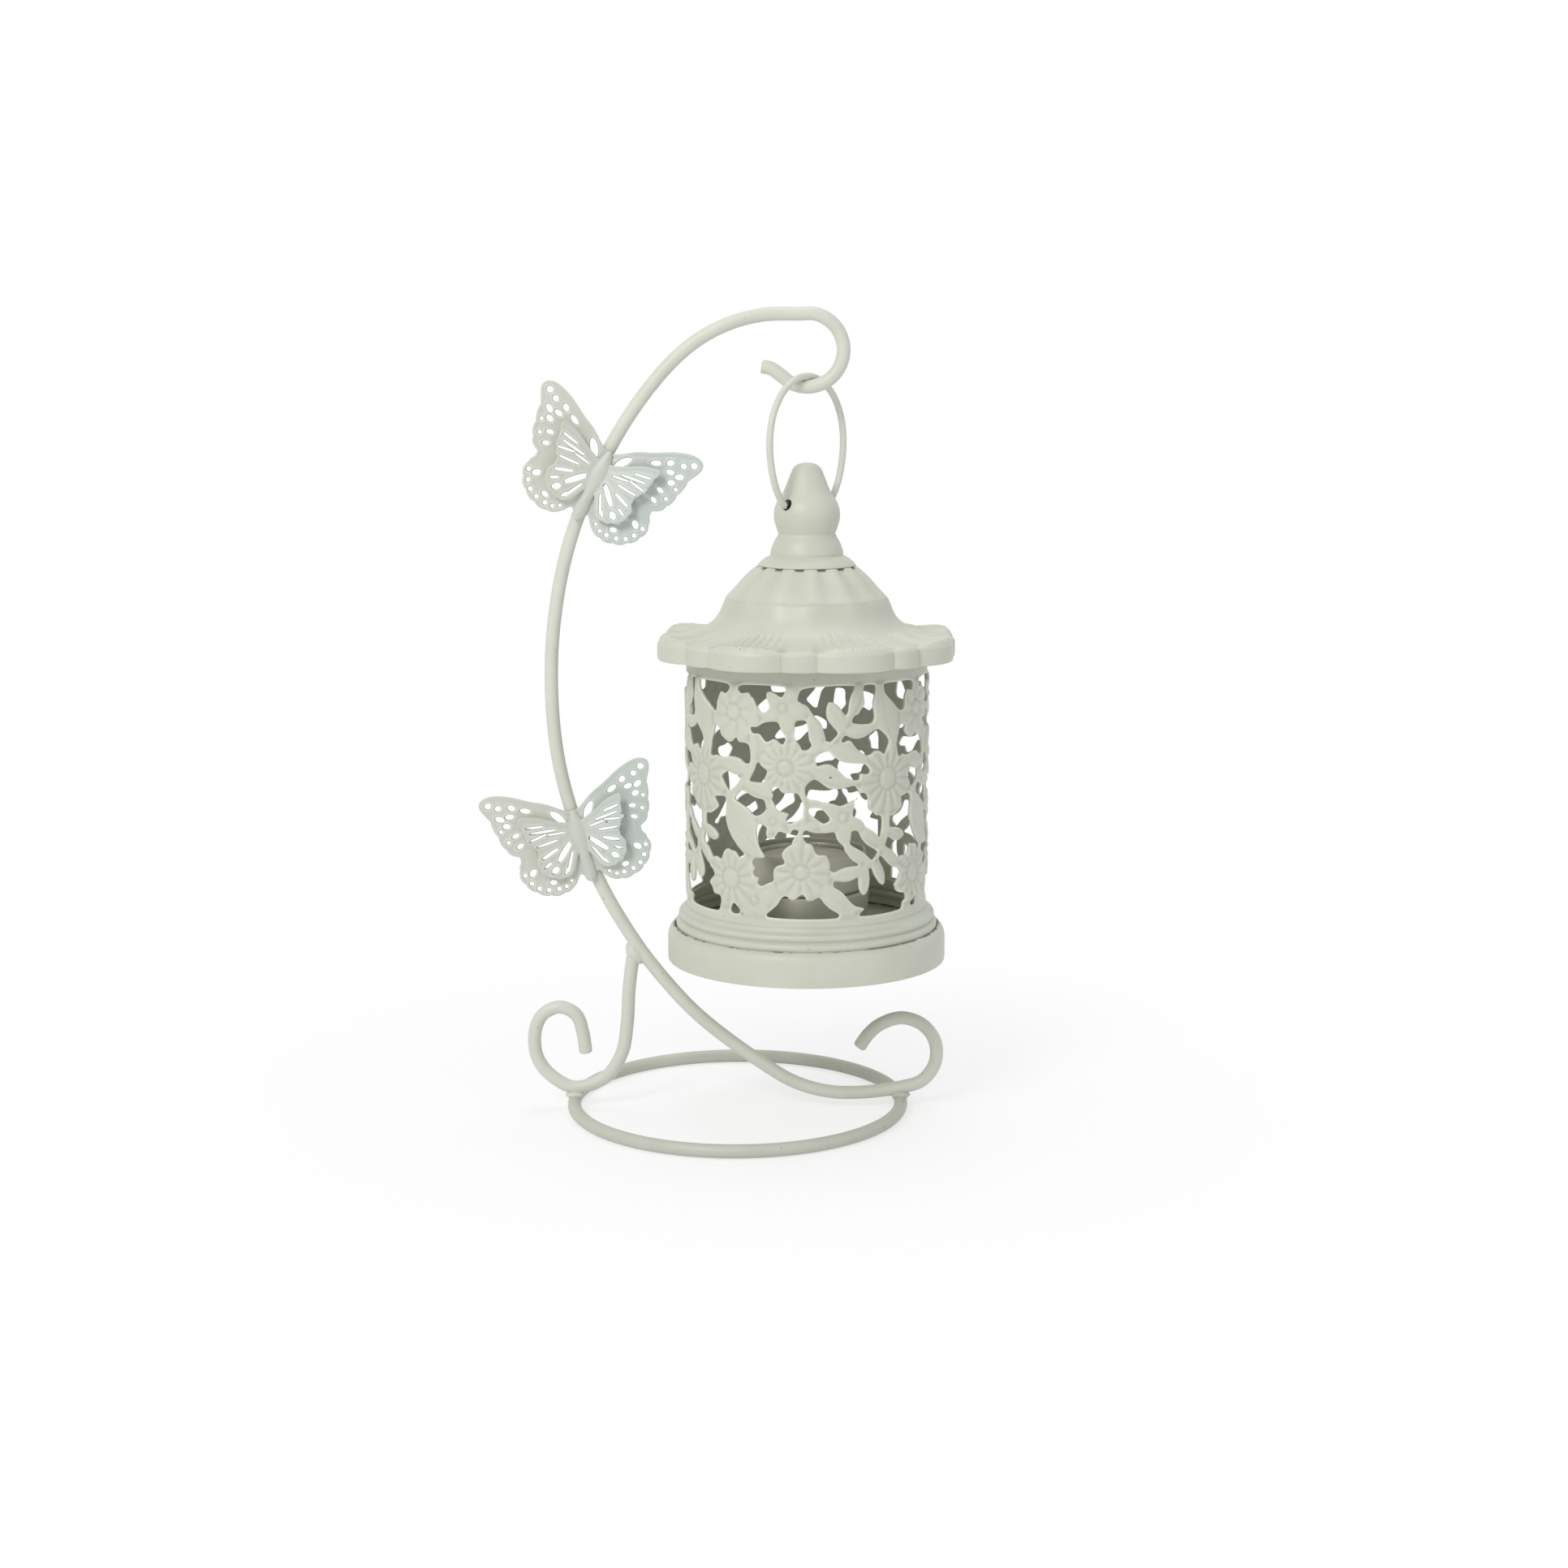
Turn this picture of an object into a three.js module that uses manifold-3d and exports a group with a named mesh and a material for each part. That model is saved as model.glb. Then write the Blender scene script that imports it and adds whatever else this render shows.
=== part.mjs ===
// A hanging tealight lantern on a curled wire stand with two sheet-metal butterflies.
// Millimetres, +Z up, the stand's frontal plane is Y = 0 and the viewer is at -Y.
import * as THREE from "three";
import { mergeVertices } from "three/addons/utils/BufferGeometryUtils.js";
import Module from "manifold-3d";

const wasm = await Module();
wasm.setup();

// Clearance between pieces that touch on the real object.
const GAP = 0.3;

// One unit of the outlines, profiles and curves that are drawn point by point below.
const UNIT = 1;

// Wire stand. X is measured from the middle of the base ring.
const WIRE_R = 2.5;
const RING_R = 62;
const RING_STEPS = 40;
const WIRE_SIDES = 8;
const WIRE_CORNER = 1 / Math.cos(Math.PI / WIRE_SIDES);
const STEPS_PER_SPAN = 2;
const WELD_R = 3.6;
const WELD_FACETS = [10, 8];
const SCROLL_R = 13.6;
const WIRE_OVER_RING = 3 * WIRE_R + GAP;

// The hook's height sets the height of the stand, and the lantern hangs from it at X.
const HOOK_Z = 271.2;
const LANTERN_X = 26;
const BAIL_DROP = 42.2;
const KNOB_OVER_PIN = 14.9;
const PIN_OVER_SKIRT = 22.1;
const CONE_HEIGHT = 11.6;
const BELL_HEIGHT = 14.1;
const RIM_DROP = 0.7;
const RIM_HEIGHT = 7.2;
const TOP_BAND = 13.9;
const BODY_HEIGHT = 110.7;
const BOTTOM_BAND = 13.4;
const TRAY_DEPTH = 11;
const BAIL_PIN_Z = HOOK_Z - BAIL_DROP;
const FINIAL_TOP = BAIL_PIN_Z + KNOB_OVER_PIN;
const SKIRT_Z = BAIL_PIN_Z - PIN_OVER_SKIRT;
const CREASE_Z = SKIRT_Z - CONE_HEIGHT;
const ROOF_SEAT_Z = CREASE_Z - BELL_HEIGHT;
const RIM_TOP = ROOF_SEAT_Z - RIM_DROP;
const RIM_BOTTOM = RIM_TOP - RIM_HEIGHT;
const OPENINGS_TOP = ROOF_SEAT_Z - TOP_BAND;
const SEAT_Z = ROOF_SEAT_Z - BODY_HEIGHT;
const OPENINGS_BOTTOM = SEAT_Z + BOTTOM_BAND;
const TRAY_BOTTOM = SEAT_Z - TRAY_DEPTH;

// Hook: an arc whose lowest point carries the bail.
const HOOK_R = 13.2;

// Bail hoop, turned about the vertical.
const BAIL_R = 1.25;
const BAIL_HALF_WIDTH = 20.6;
const BAIL_TURN = 49;
const BAIL_PIN_IN = 8.4;
const BAIL_WIDEST = 0.483;
const PIN_HOLE_R = 2;
const PIN_HOLE_FACETS = 12;

// Sheet metal and the cylinder that it is rolled into.
const SHEET = 0.8;
const BODY_R = 44.5;
const SEAM_ANGLE = 136;
const SEAM_SLIT = 0.5;
const SEAM_LAP = 7;
const SEAM_STEP = 0.25;
const BAND_OVER_SEAT = 9.9;
const SIMPLIFY_BY = 0.05;

// Round pieces in the lantern.
const FACETS = 32;
const SMALL_FACETS = 24;
const WICK_FACETS = 8;
const FOOT_FLARE = 4.1;
const FOOT_R = BODY_R + FOOT_FLARE;
const TRAY_LIP = 3.4;
const TRAY_R = FOOT_R + TRAY_LIP;
const TRAY_SHEET = 1;
const BOSS_R = 23.2;
const BOSS_H = 15.2;
const CUP_R = 22.2;
const CUP_H = 14.5;
const TEALIGHT_R = 19;
const TEALIGHT_H = 12;
const FOIL = 0.5;
const WAX_DOWN = 1.6;
const WICK_R = 0.8;
const WICK_OUT = 6;
const PLATE_R = 6;
const PLATE_H = 0.4;
const PLATE_NECK_R = 1.8;
const PLATE_NECK_H = 3;
const EDGE = 0.8;

// Roof petals: a wide one and a narrow one in every eighth of the turn.
const PETAL_PAIRS = 8;
const ROOF_TOP_R = 18;
const EAVES = 12;
const RIM_EDGE = 1.2;
const ROOF_LAP = 0.5;
const BELL_IN = 15.1;
const PETAL_TIP_R = BODY_R + EAVES;
const PETAL_ROOT_R = BODY_R + ROOF_LAP;
const BELL_R = BODY_R - BELL_IN;
const NOTCH_DEPTH = 4.2;
const NARROW_PETAL_IN = 0.45;
const WIDE_PETAL = 31;
const WIDE_STEPS = 5;
const NARROW_STEPS = 3;
const FIRST_NOTCH = 3.7;

// The stamped pattern repeats along the sheet. Sizes are measured on the outside.
const PATTERN_PERIOD = 75.5;

// Butterflies, stamped in two layers and bent along the middle.
const WING_SHEET = 0.7;
const OUTER_BEND = 8;
const INNER_BEND = 20;
const BUTTERFLY_BODY_R = 1.9;
const BUTTERFLY_BODY_LENGTH = 30;

const degrees = THREE.MathUtils.degToRad;

// Drawn points in millimetres, counted from a given place.
function drawn(points, x = 0, z = 0) {
  return points.map(([across, up]) => [x + across * UNIT, z + up * UNIT]);
}

// Points of the stand whose heights are shares of the hook's height.
function shared(points) {
  return points.map(([across, share]) => [across * UNIT, share * HOOK_Z]);
}

// Solids and geometries.

function solidOf(geometry) {
  const plain = geometry.clone();
  plain.deleteAttribute("normal");
  plain.deleteAttribute("uv");
  const merged = mergeVertices(plain, 1e-4);
  return new wasm.Manifold(
    new wasm.Mesh({
      numProp: 3,
      vertProperties: merged.attributes.position.array,
      triVerts: new Uint32Array(merged.index.array),
    }),
  );
}

function geometryOf(solid) {
  const { vertProperties, triVerts } = solid.getMesh();
  const geometry = new THREE.BufferGeometry();
  geometry.setAttribute("position", new THREE.BufferAttribute(vertProperties, 3));
  geometry.setIndex(new THREE.BufferAttribute(triVerts, 1));
  const faceted = geometry.toNonIndexed();
  faceted.computeVertexNormals();
  return faceted;
}

function joined(solids) {
  return solids.reduce((all, next) => all.add(next));
}

// A regular outline whose flats lie at the given radius, so that a round wire fits inside it.
function wireSection(radius) {
  const corner = radius * WIRE_CORNER;
  const points = [];
  for (let i = 0; i < WIRE_SIDES; i++) {
    const a = ((i + 0.5) * 2 * Math.PI) / WIRE_SIDES;
    points.push(new THREE.Vector2(corner * Math.cos(a), corner * Math.sin(a)));
  }
  return points;
}

// The centre line of a bent wire. Its points are closest together in the tight bends, and
// each span between two points gets the same number of straight steps.
class WireLine extends THREE.CatmullRomCurve3 {
  getUtoTmapping(u) {
    return u;
  }
}

function wireAlong(curve, radius) {
  const steps = STEPS_PER_SPAN * (curve.points.length - 1);
  const section = new THREE.Shape(wireSection(radius));
  return new THREE.ExtrudeGeometry(section, { steps, extrudePath: curve, curveSegments: 1 });
}

// A turned piece on the lantern's axis from [radius, height] pairs.
function turned(profile, segments = FACETS) {
  const points = profile.map(([r, z]) => new THREE.Vector2(r, z));
  const first = profile[0];
  if (first[0] > 0) points.push(new THREE.Vector2(first[0], first[1]));
  return new THREE.LatheGeometry(points, segments).rotateX(Math.PI / 2);
}

function onAxis(geometry) {
  return geometry.translate(LANTERN_X, 0, 0);
}

// The same profile seen from inside the sheet, in the opposite order.
function lined(profile, thickness) {
  const offset = profile.map(([r, z], i) => {
    const before = profile[Math.max(i - 1, 0)];
    const after = profile[Math.min(i + 1, profile.length - 1)];
    const dr = after[0] - before[0];
    const dz = after[1] - before[1];
    const length = Math.hypot(dr, dz);
    return [r - (thickness * dz) / length, z + (thickness * dr) / length];
  });
  return offset.reverse();
}

// Materials.

function paint(colour, roughness = 0.5, metalness = 0.1) {
  return new THREE.MeshStandardMaterial({ color: colour, roughness, metalness });
}

const cream = () => paint("#d6d8cb");
const butterflyCream = () => paint("#d6dad2");

const model = new THREE.Group();
const stand = new THREE.Group();
const lantern = new THREE.Group();
const tealight = new THREE.Group();
lantern.add(tealight);
model.add(stand, lantern);

function add(group, name, shape, material) {
  const geometry = shape.isBufferGeometry ? shape : geometryOf(shape);
  const mesh = new THREE.Mesh(geometry, material);
  mesh.name = name;
  group.add(mesh);
  return mesh;
}

// Wire stand.

function inPlane(points) {
  const spots = points.map(([x, z]) => new THREE.Vector3(x, 0, z));
  return new WireLine(spots, false, "centripetal");
}

function hookPoints() {
  const centre = [LANTERN_X, HOOK_Z + HOOK_R];
  const points = [
    [LANTERN_X - 1.26 * HOOK_R, HOOK_Z + 0.55 * HOOK_R],
    [LANTERN_X - HOOK_R, HOOK_Z + 0.5 * HOOK_R],
  ];
  for (let a = 222; a <= 462; a += 24) {
    points.push([
      centre[0] + HOOK_R * Math.cos(degrees(a)),
      centre[1] + HOOK_R * Math.sin(degrees(a)),
    ]);
  }
  return points;
}

// Points of the bow between the hook and the ring: X, and height as a share of the hook's.
const archPoints = shared([
  [10, 1.0951],
  [-1.8, 1.0841],
  [-13.5, 1.0623],
  [-25.4, 1.0243],
  [-42.1, 0.9425],
  [-59.3, 0.8119],
  [-67.3, 0.6799],
  [-68, 0.5461],
  [-63.4, 0.4447],
  [-51.7, 0.3249],
  [-41.4, 0.2555],
  [-31.7, 0.2035],
  [-15, 0.1338],
  [9.6, 0.0634],
  [21.9, 0.0361],
  [34.3, 0.0229],
  [47, 0.0214],
]);

function rightScrollPoints() {
  const centre = [RING_R, WIRE_OVER_RING + SCROLL_R];
  const points = [];
  for (let a = -90; a <= 126; a += 36) {
    points.push([
      centre[0] + SCROLL_R * Math.cos(degrees(a)),
      centre[1] + SCROLL_R * Math.sin(degrees(a)),
    ]);
  }
  const end = [[-12.4, 7.2], [-16, 2]];
  return points.concat(drawn(end, ...centre));
}

const stemCurve = inPlane([...hookPoints(), ...archPoints, ...rightScrollPoints()]);
add(stand, "stem_wire", wireAlong(stemCurve, WIRE_R), cream());

const braceUpper = shared([
  [-39.4, 0.2176],
  [-41, 0.1689],
  [-41.8, 0.1217],
  [-44, 0.0774],
  [-50.5, 0.0428],
]);
const braceScroll = drawn([
  [-70.4, 12],
  [-75.8, 19],
  [-76.9, 28.5],
  [-74, 36],
  [-67.4, 39.2],
  [-61.2, 36.3],
  [-58.7, 29.5],
  [-57.6, 21.3],
]);
const braceCurve = inPlane([...braceUpper, [-RING_R, WIRE_OVER_RING], ...braceScroll]);

function brace() {
  const [beadX, beadZ] = braceUpper[0];
  const bead = new THREE.SphereGeometry(WELD_R, ...WELD_FACETS).translate(beadX, 0, beadZ);
  const stemRoom = solidOf(wireAlong(stemCurve, WIRE_R + GAP));
  return solidOf(wireAlong(braceCurve, WIRE_R)).add(solidOf(bead)).subtract(stemRoom);
}

add(stand, "brace_wire", brace(), cream());

// The ring's eight-sided wire has a flat underneath, so the stand rests on a flat ring.
function baseRing() {
  const profile = wireSection(WIRE_R).map((p) => [RING_R + p.x, WIRE_R + p.y]);
  return turned(profile, RING_STEPS);
}

add(stand, "base_ring", baseRing(), cream());

// Butterflies. Half outlines from the head round to the tail, in millimetres.
const outerWing = [
  [0, 8],
  [3.5, 9],
  [9, 13],
  [15, 14.6],
  [21, 18.6],
  [28, 21.6],
  [32.6, 21.4],
  [33.8, 18.6],
  [31.4, 13.6],
  [30.4, 7.5],
  [28.4, -0.5],
  [22.6, -4],
  [25.6, -7.6],
  [25.4, -12.6],
  [22, -17.6],
  [16.5, -20.8],
  [10.5, -21.4],
  [6, -19],
  [3.2, -14.6],
  [1.4, -18.6],
  [0, -19.2],
];
const outerWindow = [
  [3.6, 4.4],
  [6.4, 9],
  [10, 10.4],
  [8, 6.6],
];
const innerWing = [
  [0, 4.5],
  [3, 4.6],
  [8, 6.8],
  [13.5, 10],
  [20, 12],
  [21.4, 10.6],
  [20, 6.6],
  [19.8, 2.4],
  [16, -2.6],
  [18.4, -6],
  [17.6, -10.4],
  [14.6, -13.6],
  [9.4, -15.4],
  [5, -14],
  [2.4, -7.5],
  [0, -7.5],
];

// Both halves of a wing sheet, bent forward. Its middle lies flat on Y = 0.
function wings(half, bend, window) {
  const outline = drawn(half).map(([x, z]) => new THREE.Vector2(x, z));
  outline.push(new THREE.Vector2(-1, outline.at(-1).y), new THREE.Vector2(-1, outline[0].y));
  const shape = new THREE.Shape(outline.reverse());
  if (window) shape.holes.push(new THREE.Path(drawn(window).map((p) => new THREE.Vector2(...p))));
  const sheet = new THREE.ExtrudeGeometry(shape, { depth: WING_SHEET, bevelEnabled: false });
  const right = sheet.rotateX(Math.PI / 2).rotateZ(-degrees(bend));
  const rightSolid = solidOf(right);
  return rightSolid.add(rightSolid.mirror([1, 0, 0])).trimByPlane([0, -1, 0], 0);
}

function butterflyBody() {
  const profile = [];
  for (let a = 0; a <= 180; a += 30) {
    const r = a % 180 ? BUTTERFLY_BODY_R * Math.sin(degrees(a)) : 0;
    profile.push([r, -0.5 * BUTTERFLY_BODY_LENGTH * Math.cos(degrees(a))]);
  }
  const middle = -0.13 * BUTTERFLY_BODY_LENGTH;
  return solidOf(turned(profile, WIRE_SIDES).translate(0, 0, middle)).trimByPlane([0, -1, 0], 0);
}

// A butterfly on the front of the stem, leaning clockwise by an angle in degrees. Its waist
// is at X, and at a share of the hook's height.
function butterfly(name, x, share, lean) {
  const outerBack = -WIRE_R - GAP;
  const outer = wings(outerWing, OUTER_BEND, outerWindow);
  const inner = wings(innerWing, INNER_BEND)
    .add(butterflyBody())
    .translate([0, -WING_SHEET - GAP, 0]);
  const group = new THREE.Group();
  group.position.set(x * UNIT, outerBack, share * HOOK_Z);
  group.rotation.set(0, degrees(lean), 0);
  stand.add(group);
  add(group, name + "_outer_wings", outer, butterflyCream());
  add(group, name + "_inner_wings", inner, butterflyCream());
}

butterfly("upper_butterfly", -49.6, 0.8857, 28);
butterfly("lower_butterfly", -59, 0.3953, -15);

// Bail hoop: a half oval with its ends turned in through the finial's holes.
function bail() {
  const top = HOOK_Z + (WIRE_R + BAIL_R) * WIRE_CORNER + GAP;
  const middle = THREE.MathUtils.lerp(BAIL_PIN_Z, top, BAIL_WIDEST);
  const rise = top - middle;
  const half = [
    [BAIL_PIN_IN, BAIL_PIN_Z],
    ...drawn([[12.4, 0], [16, 4], [19.4, 12.5]], 0, BAIL_PIN_Z),
  ];
  for (let a = 0; a < 90; a += 22.5) {
    half.push([BAIL_HALF_WIDTH * Math.cos(degrees(a)), middle + rise * Math.sin(degrees(a))]);
  }
  const other = half.map(([u, z]) => [-u, z]).reverse();
  const curve = inPlane([...half, [0, top], ...other]);
  return wireAlong(curve, BAIL_R).rotateZ(degrees(BAIL_TURN));
}

add(lantern, "bail_hoop", onAxis(bail()), cream());

// Finial: a hollow turned knob with two holes for the ends of the bail.
const finialOutside = [
  [ROOF_TOP_R, SKIRT_Z],
  ...drawn([[13.2, 3.3], [12.9, 5.3], [11.6, 8.3], [10.4, 11.1], [11.7, 14.9]], 0, SKIRT_Z),
  ...drawn([[12.1, -3.6], [10.9, 0.6], [8.6, 4.4], [6.2, 9.6]], 0, BAIL_PIN_Z),
  ...drawn([[4.9, -2.1], [3, -0.5]], 0, FINIAL_TOP),
];

function finial() {
  const inside = lined(finialOutside.slice(1), SHEET);
  const profile = [
    ...finialOutside,
    [0, FINIAL_TOP],
    [0, FINIAL_TOP - SHEET],
    ...inside,
    [ROOF_TOP_R - SHEET, SKIRT_Z],
  ];
  const through = 2 * ROOF_TOP_R;
  const hole = new THREE.CylinderGeometry(PIN_HOLE_R, PIN_HOLE_R, through, PIN_HOLE_FACETS)
    .rotateZ(Math.PI / 2)
    .rotateZ(degrees(BAIL_TURN))
    .translate(0, 0, BAIL_PIN_Z);
  return geometryOf(solidOf(turned(profile, SMALL_FACETS)).subtract(solidOf(hole)));
}

add(lantern, "finial", onAxis(finial()), cream());

// Roof: a turned bell whose outer edge is drawn in between the petals.
const roofOutside = [
  [PETAL_TIP_R, RIM_BOTTOM],
  [PETAL_TIP_R, RIM_TOP - RIM_EDGE],
  [PETAL_TIP_R - RIM_EDGE, RIM_TOP],
  [PETAL_ROOT_R, ROOF_SEAT_Z],
  ...drawn([[9.2, 1.6], [5.1, 5.2]], BELL_R, ROOF_SEAT_Z),
  ...drawn([[1.8, -2.4], [0, 0], [-5.8, 6.4]], BELL_R, CREASE_Z),
  [ROOF_TOP_R, SKIRT_Z - GAP],
];

function petalEdge() {
  const eighth = 360 / PETAL_PAIRS;
  const narrow = eighth - WIDE_PETAL;
  const turns = [];
  for (let k = 0; k < PETAL_PAIRS; k++) {
    const start = FIRST_NOTCH + k * eighth;
    for (let i = 0; i < WIDE_STEPS; i++) {
      const t = i / WIDE_STEPS;
      turns.push([start + t * WIDE_PETAL, NOTCH_DEPTH * (1 - Math.sin(Math.PI * t) ** 0.6)]);
    }
    for (let i = 0; i < NARROW_STEPS; i++) {
      const t = i / NARROW_STEPS;
      const drawnIn = i ? NOTCH_DEPTH * NARROW_PETAL_IN : NOTCH_DEPTH;
      turns.push([start + WIDE_PETAL + t * narrow, drawnIn]);
    }
  }
  return turns;
}

function roof() {
  const edge = petalEdge();
  const inner = lined(roofOutside.slice(1), SHEET);
  const bottomInner = [PETAL_TIP_R - SHEET, RIM_BOTTOM];
  const geometry = turned([...roofOutside, ...inner, bottomInner], edge.length);
  const spots = geometry.attributes.position;
  for (let i = 0; i < spots.count; i++) {
    const x = spots.getX(i);
    const y = spots.getY(i);
    const r = Math.hypot(x, y);
    const turn = ((Math.atan2(x, -y) / (2 * Math.PI)) * edge.length + edge.length) % edge.length;
    const [angle, drawnIn] = edge[Math.round(turn) % edge.length];
    const share = THREE.MathUtils.smoothstep(r, PETAL_ROOT_R, PETAL_TIP_R - RIM_EDGE);
    const reach = r - drawnIn * share;
    spots.setXY(i, reach * Math.sin(degrees(angle)), -reach * Math.cos(degrees(angle)));
  }
  return geometry;
}

add(lantern, "roof", onAxis(roof()), cream());

// Pierced body. The stamped pattern is drawn flat: x runs round the body from its front to
// the right, y is the height above the lowest edge of the openings.
function flower(x, y, radius, petals, turn = 0, depth = 0.2) {
  const points = [];
  const tip = petals > 5 ? [[0, 1]] : [[-0.2, 1], [0.2, 1]];
  for (let i = 0; i < petals; i++) {
    for (const [offset, share] of [[-0.5, 1 - depth], ...tip]) {
      const a = degrees(turn) + ((i + offset) * 2 * Math.PI) / petals;
      points.push([x + radius * share * Math.cos(a), y + radius * share * Math.sin(a)]);
    }
  }
  return points;
}

// A pointed oval from its base to its tip. Bend moves its middle to the left of that line.
function leaf(x0, y0, x1, y1, width, bend = 0) {
  const length = Math.hypot(x1 - x0, y1 - y0);
  const along = [(x1 - x0) / length, (y1 - y0) / length];
  const across = [-along[1], along[0]];
  const stations = width > 6.5 ? [0.25, 0.55, 0.82] : [0.3, 0.74];
  const at = (t, side) => {
    const half = 0.5 * width * Math.sin(Math.PI * (0.08 + 0.86 * t)) ** 0.8;
    const offset = side * half + 4 * bend * t * (1 - t);
    return [
      x0 + along[0] * length * t + across[0] * offset,
      y0 + along[1] * length * t + across[1] * offset,
    ];
  };
  const right = stations.map((t) => at(t, -1));
  const left = stations.map((t) => at(t, 1)).reverse();
  return [at(0, 0), ...right, [x1, y1], ...left];
}

function stalk(points, width) {
  const curve = new THREE.SplineCurve(points.map(([x, y]) => new THREE.Vector2(x, y)));
  const steps = points.length;
  const left = [];
  const right = [];
  for (let i = 0; i <= steps; i++) {
    const spot = curve.getPoint(i / steps);
    const along = curve.getTangent(i / steps);
    left.push([spot.x - (along.y * width) / 2, spot.y + (along.x * width) / 2]);
    right.push([spot.x + (along.y * width) / 2, spot.y - (along.x * width) / 2]);
  }
  return right.concat(left.reverse());
}

const pattern = [
  // Round flowers with many petals, and flowers with five.
  flower(-8, 54.5, 10, 11, 0, 0.12),
  flower(31.2, 48.9, 12.2, 10, 8, 0.14),
  flower(-2, 16.4, 10.6, 9, 12, 0.14),
  flower(-30, 12.4, 11.4, 9, 0, 0.14),
  flower(-28.4, 73.1, 10.6, 7, 10, 0.16),
  flower(-8.6, 75.4, 8.9, 5, -8, 0.5),
  flower(-12, 34.6, 6.3, 5, -20, 0.5),
  flower(12.9, 36.7, 9.8, 5, -10, 0.5),
  flower(-19.6, 5.7, 7.4, 5, 0, 0.2),
  // Broad leaves.
  leaf(-30.4, 43.6, -15.4, 21.7, 13, -2),
  leaf(-0.5, 54.7, 18.5, 48.4, 7, 0.6),
  leaf(33.6, 60.1, 27, 85.1, 12.4, 0.6),
  leaf(4.6, 11.7, 17, -1.4, 8.4, 0.6),
  leaf(12.6, 3.9, 21.4, 2.3, 3, 0),
  // Small leaves beside the flowers.
  leaf(-37, 55.5, -21.6, 51.7, 5.8, 1.2),
  leaf(-23.4, 47.7, -12.2, 43.7, 4.8, 0.8),
  leaf(4, 33.7, -3, 32.5, 3, 0),
  // Upper spray.
  leaf(3.8, 61.3, 1, 72.7, 5.4),
  leaf(12.8, 67.1, 7.6, 78.3, 5.4),
  leaf(15.2, 72.5, 19.6, 84.5, 4.6, 0.8),
  leaf(13.8, 67.5, 26, 69.7, 4.4, -0.8),
  leaf(4.8, 62.5, 22.6, 56.3, 6.4, -0.6),
  // Lower spray.
  leaf(31.8, 30.1, 40.2, 27.3, 5, 0.4),
  leaf(29, 23.7, 38.6, 16.9, 3.8, -0.4),
  leaf(24.4, 19.3, 29.6, 10.1, 4.2, -0.3),
  leaf(21.6, 17.5, 20.8, 7.1, 4.4),
  leaf(21, 16.9, 8.6, 14.9, 5.2, 0.5),
  leaf(25, 18.9, 13, 26.7, 5, 0),
  leaf(29, 25.1, 18.6, 33.9, 4.8, 0),
  // Stalks.
  stalk([[-2, 58.7], [6, 62.5], [12.4, 68.1], [15.4, 74.1]], 2),
  stalk([[31.4, 38.1], [31.2, 31.1], [28.6, 24.5], [23, 18.7], [19.6, 16.1]], 2.2),
  stalk([[-20.4, 68.1], [-19.8, 59.7], [-22.4, 50.7], [-31, 42.5]], 2.4),
  stalk([[-2.2, 47.1], [-1.2, 37.1], [-3.4, 25.1]], 1.9),
];

function flatSheet(points) {
  const shape = new THREE.Shape(points.map(([x, y]) => new THREE.Vector2(x, y)));
  return solidOf(new THREE.ExtrudeGeometry(shape, { depth: SHEET, bevelEnabled: false }));
}

function rectangle(x0, x1, y0, y1) {
  return [[x0, y0], [x1, y0], [x1, y1], [x0, y1]];
}

const around = 2 * Math.PI * BODY_R;
const seamEnd = degrees(SEAM_ANGLE) * BODY_R - SEAM_SLIT / 2;
const seamStart = degrees(SEAM_ANGLE) * BODY_R - around + SEAM_SLIT / 2;
const bandBottom = SEAT_Z + BAND_OVER_SEAT;
const bodyTop = ROOF_SEAT_Z - SHEET - GAP;

function flatBody() {
  const pieces = [
    flatSheet(rectangle(seamStart, seamEnd, bandBottom, OPENINGS_BOTTOM)),
    flatSheet(rectangle(seamStart, seamEnd, OPENINGS_TOP, bodyTop)),
  ];
  const window = flatSheet(rectangle(seamStart, seamEnd, OPENINGS_BOTTOM - 1, OPENINGS_TOP + 1));
  const edgeWidth = SEAM_LAP / 2;
  pieces.push(flatSheet(rectangle(seamStart, seamStart + edgeWidth, bandBottom, bodyTop)));
  pieces.push(flatSheet(rectangle(seamEnd - edgeWidth, seamEnd, bandBottom, bodyTop)));
  const tile = joined(pattern.map((outline) => flatSheet(drawn(outline, 0, OPENINGS_BOTTOM))));
  const first = Math.floor(seamStart / PATTERN_PERIOD) - 1;
  const last = Math.ceil(seamEnd / PATTERN_PERIOD) + 1;
  for (let k = first; k <= last; k++) {
    const copy = tile.translate([k * PATTERN_PERIOD, 0, 0]).intersect(window);
    if (!copy.isEmpty()) pieces.push(copy);
  }
  return joined(pieces);
}

// Cuts a convex outline in two along a line of constant x.
function cutOutline(outline, x) {
  const low = [];
  const high = [];
  outline.forEach((a, i) => {
    const b = outline[(i + 1) % outline.length];
    if (a.x <= x) low.push(a);
    if (a.x >= x) high.push(a);
    if ((a.x - x) * (b.x - x) < 0) {
      const [p, q] = a.x < b.x ? [a, b] : [b, a];
      const spot = p.clone().lerp(q, (x - p.x) / (q.x - p.x));
      spot.x = x;
      low.push(spot);
      high.push(spot);
    }
  });
  return [low, high];
}

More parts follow.
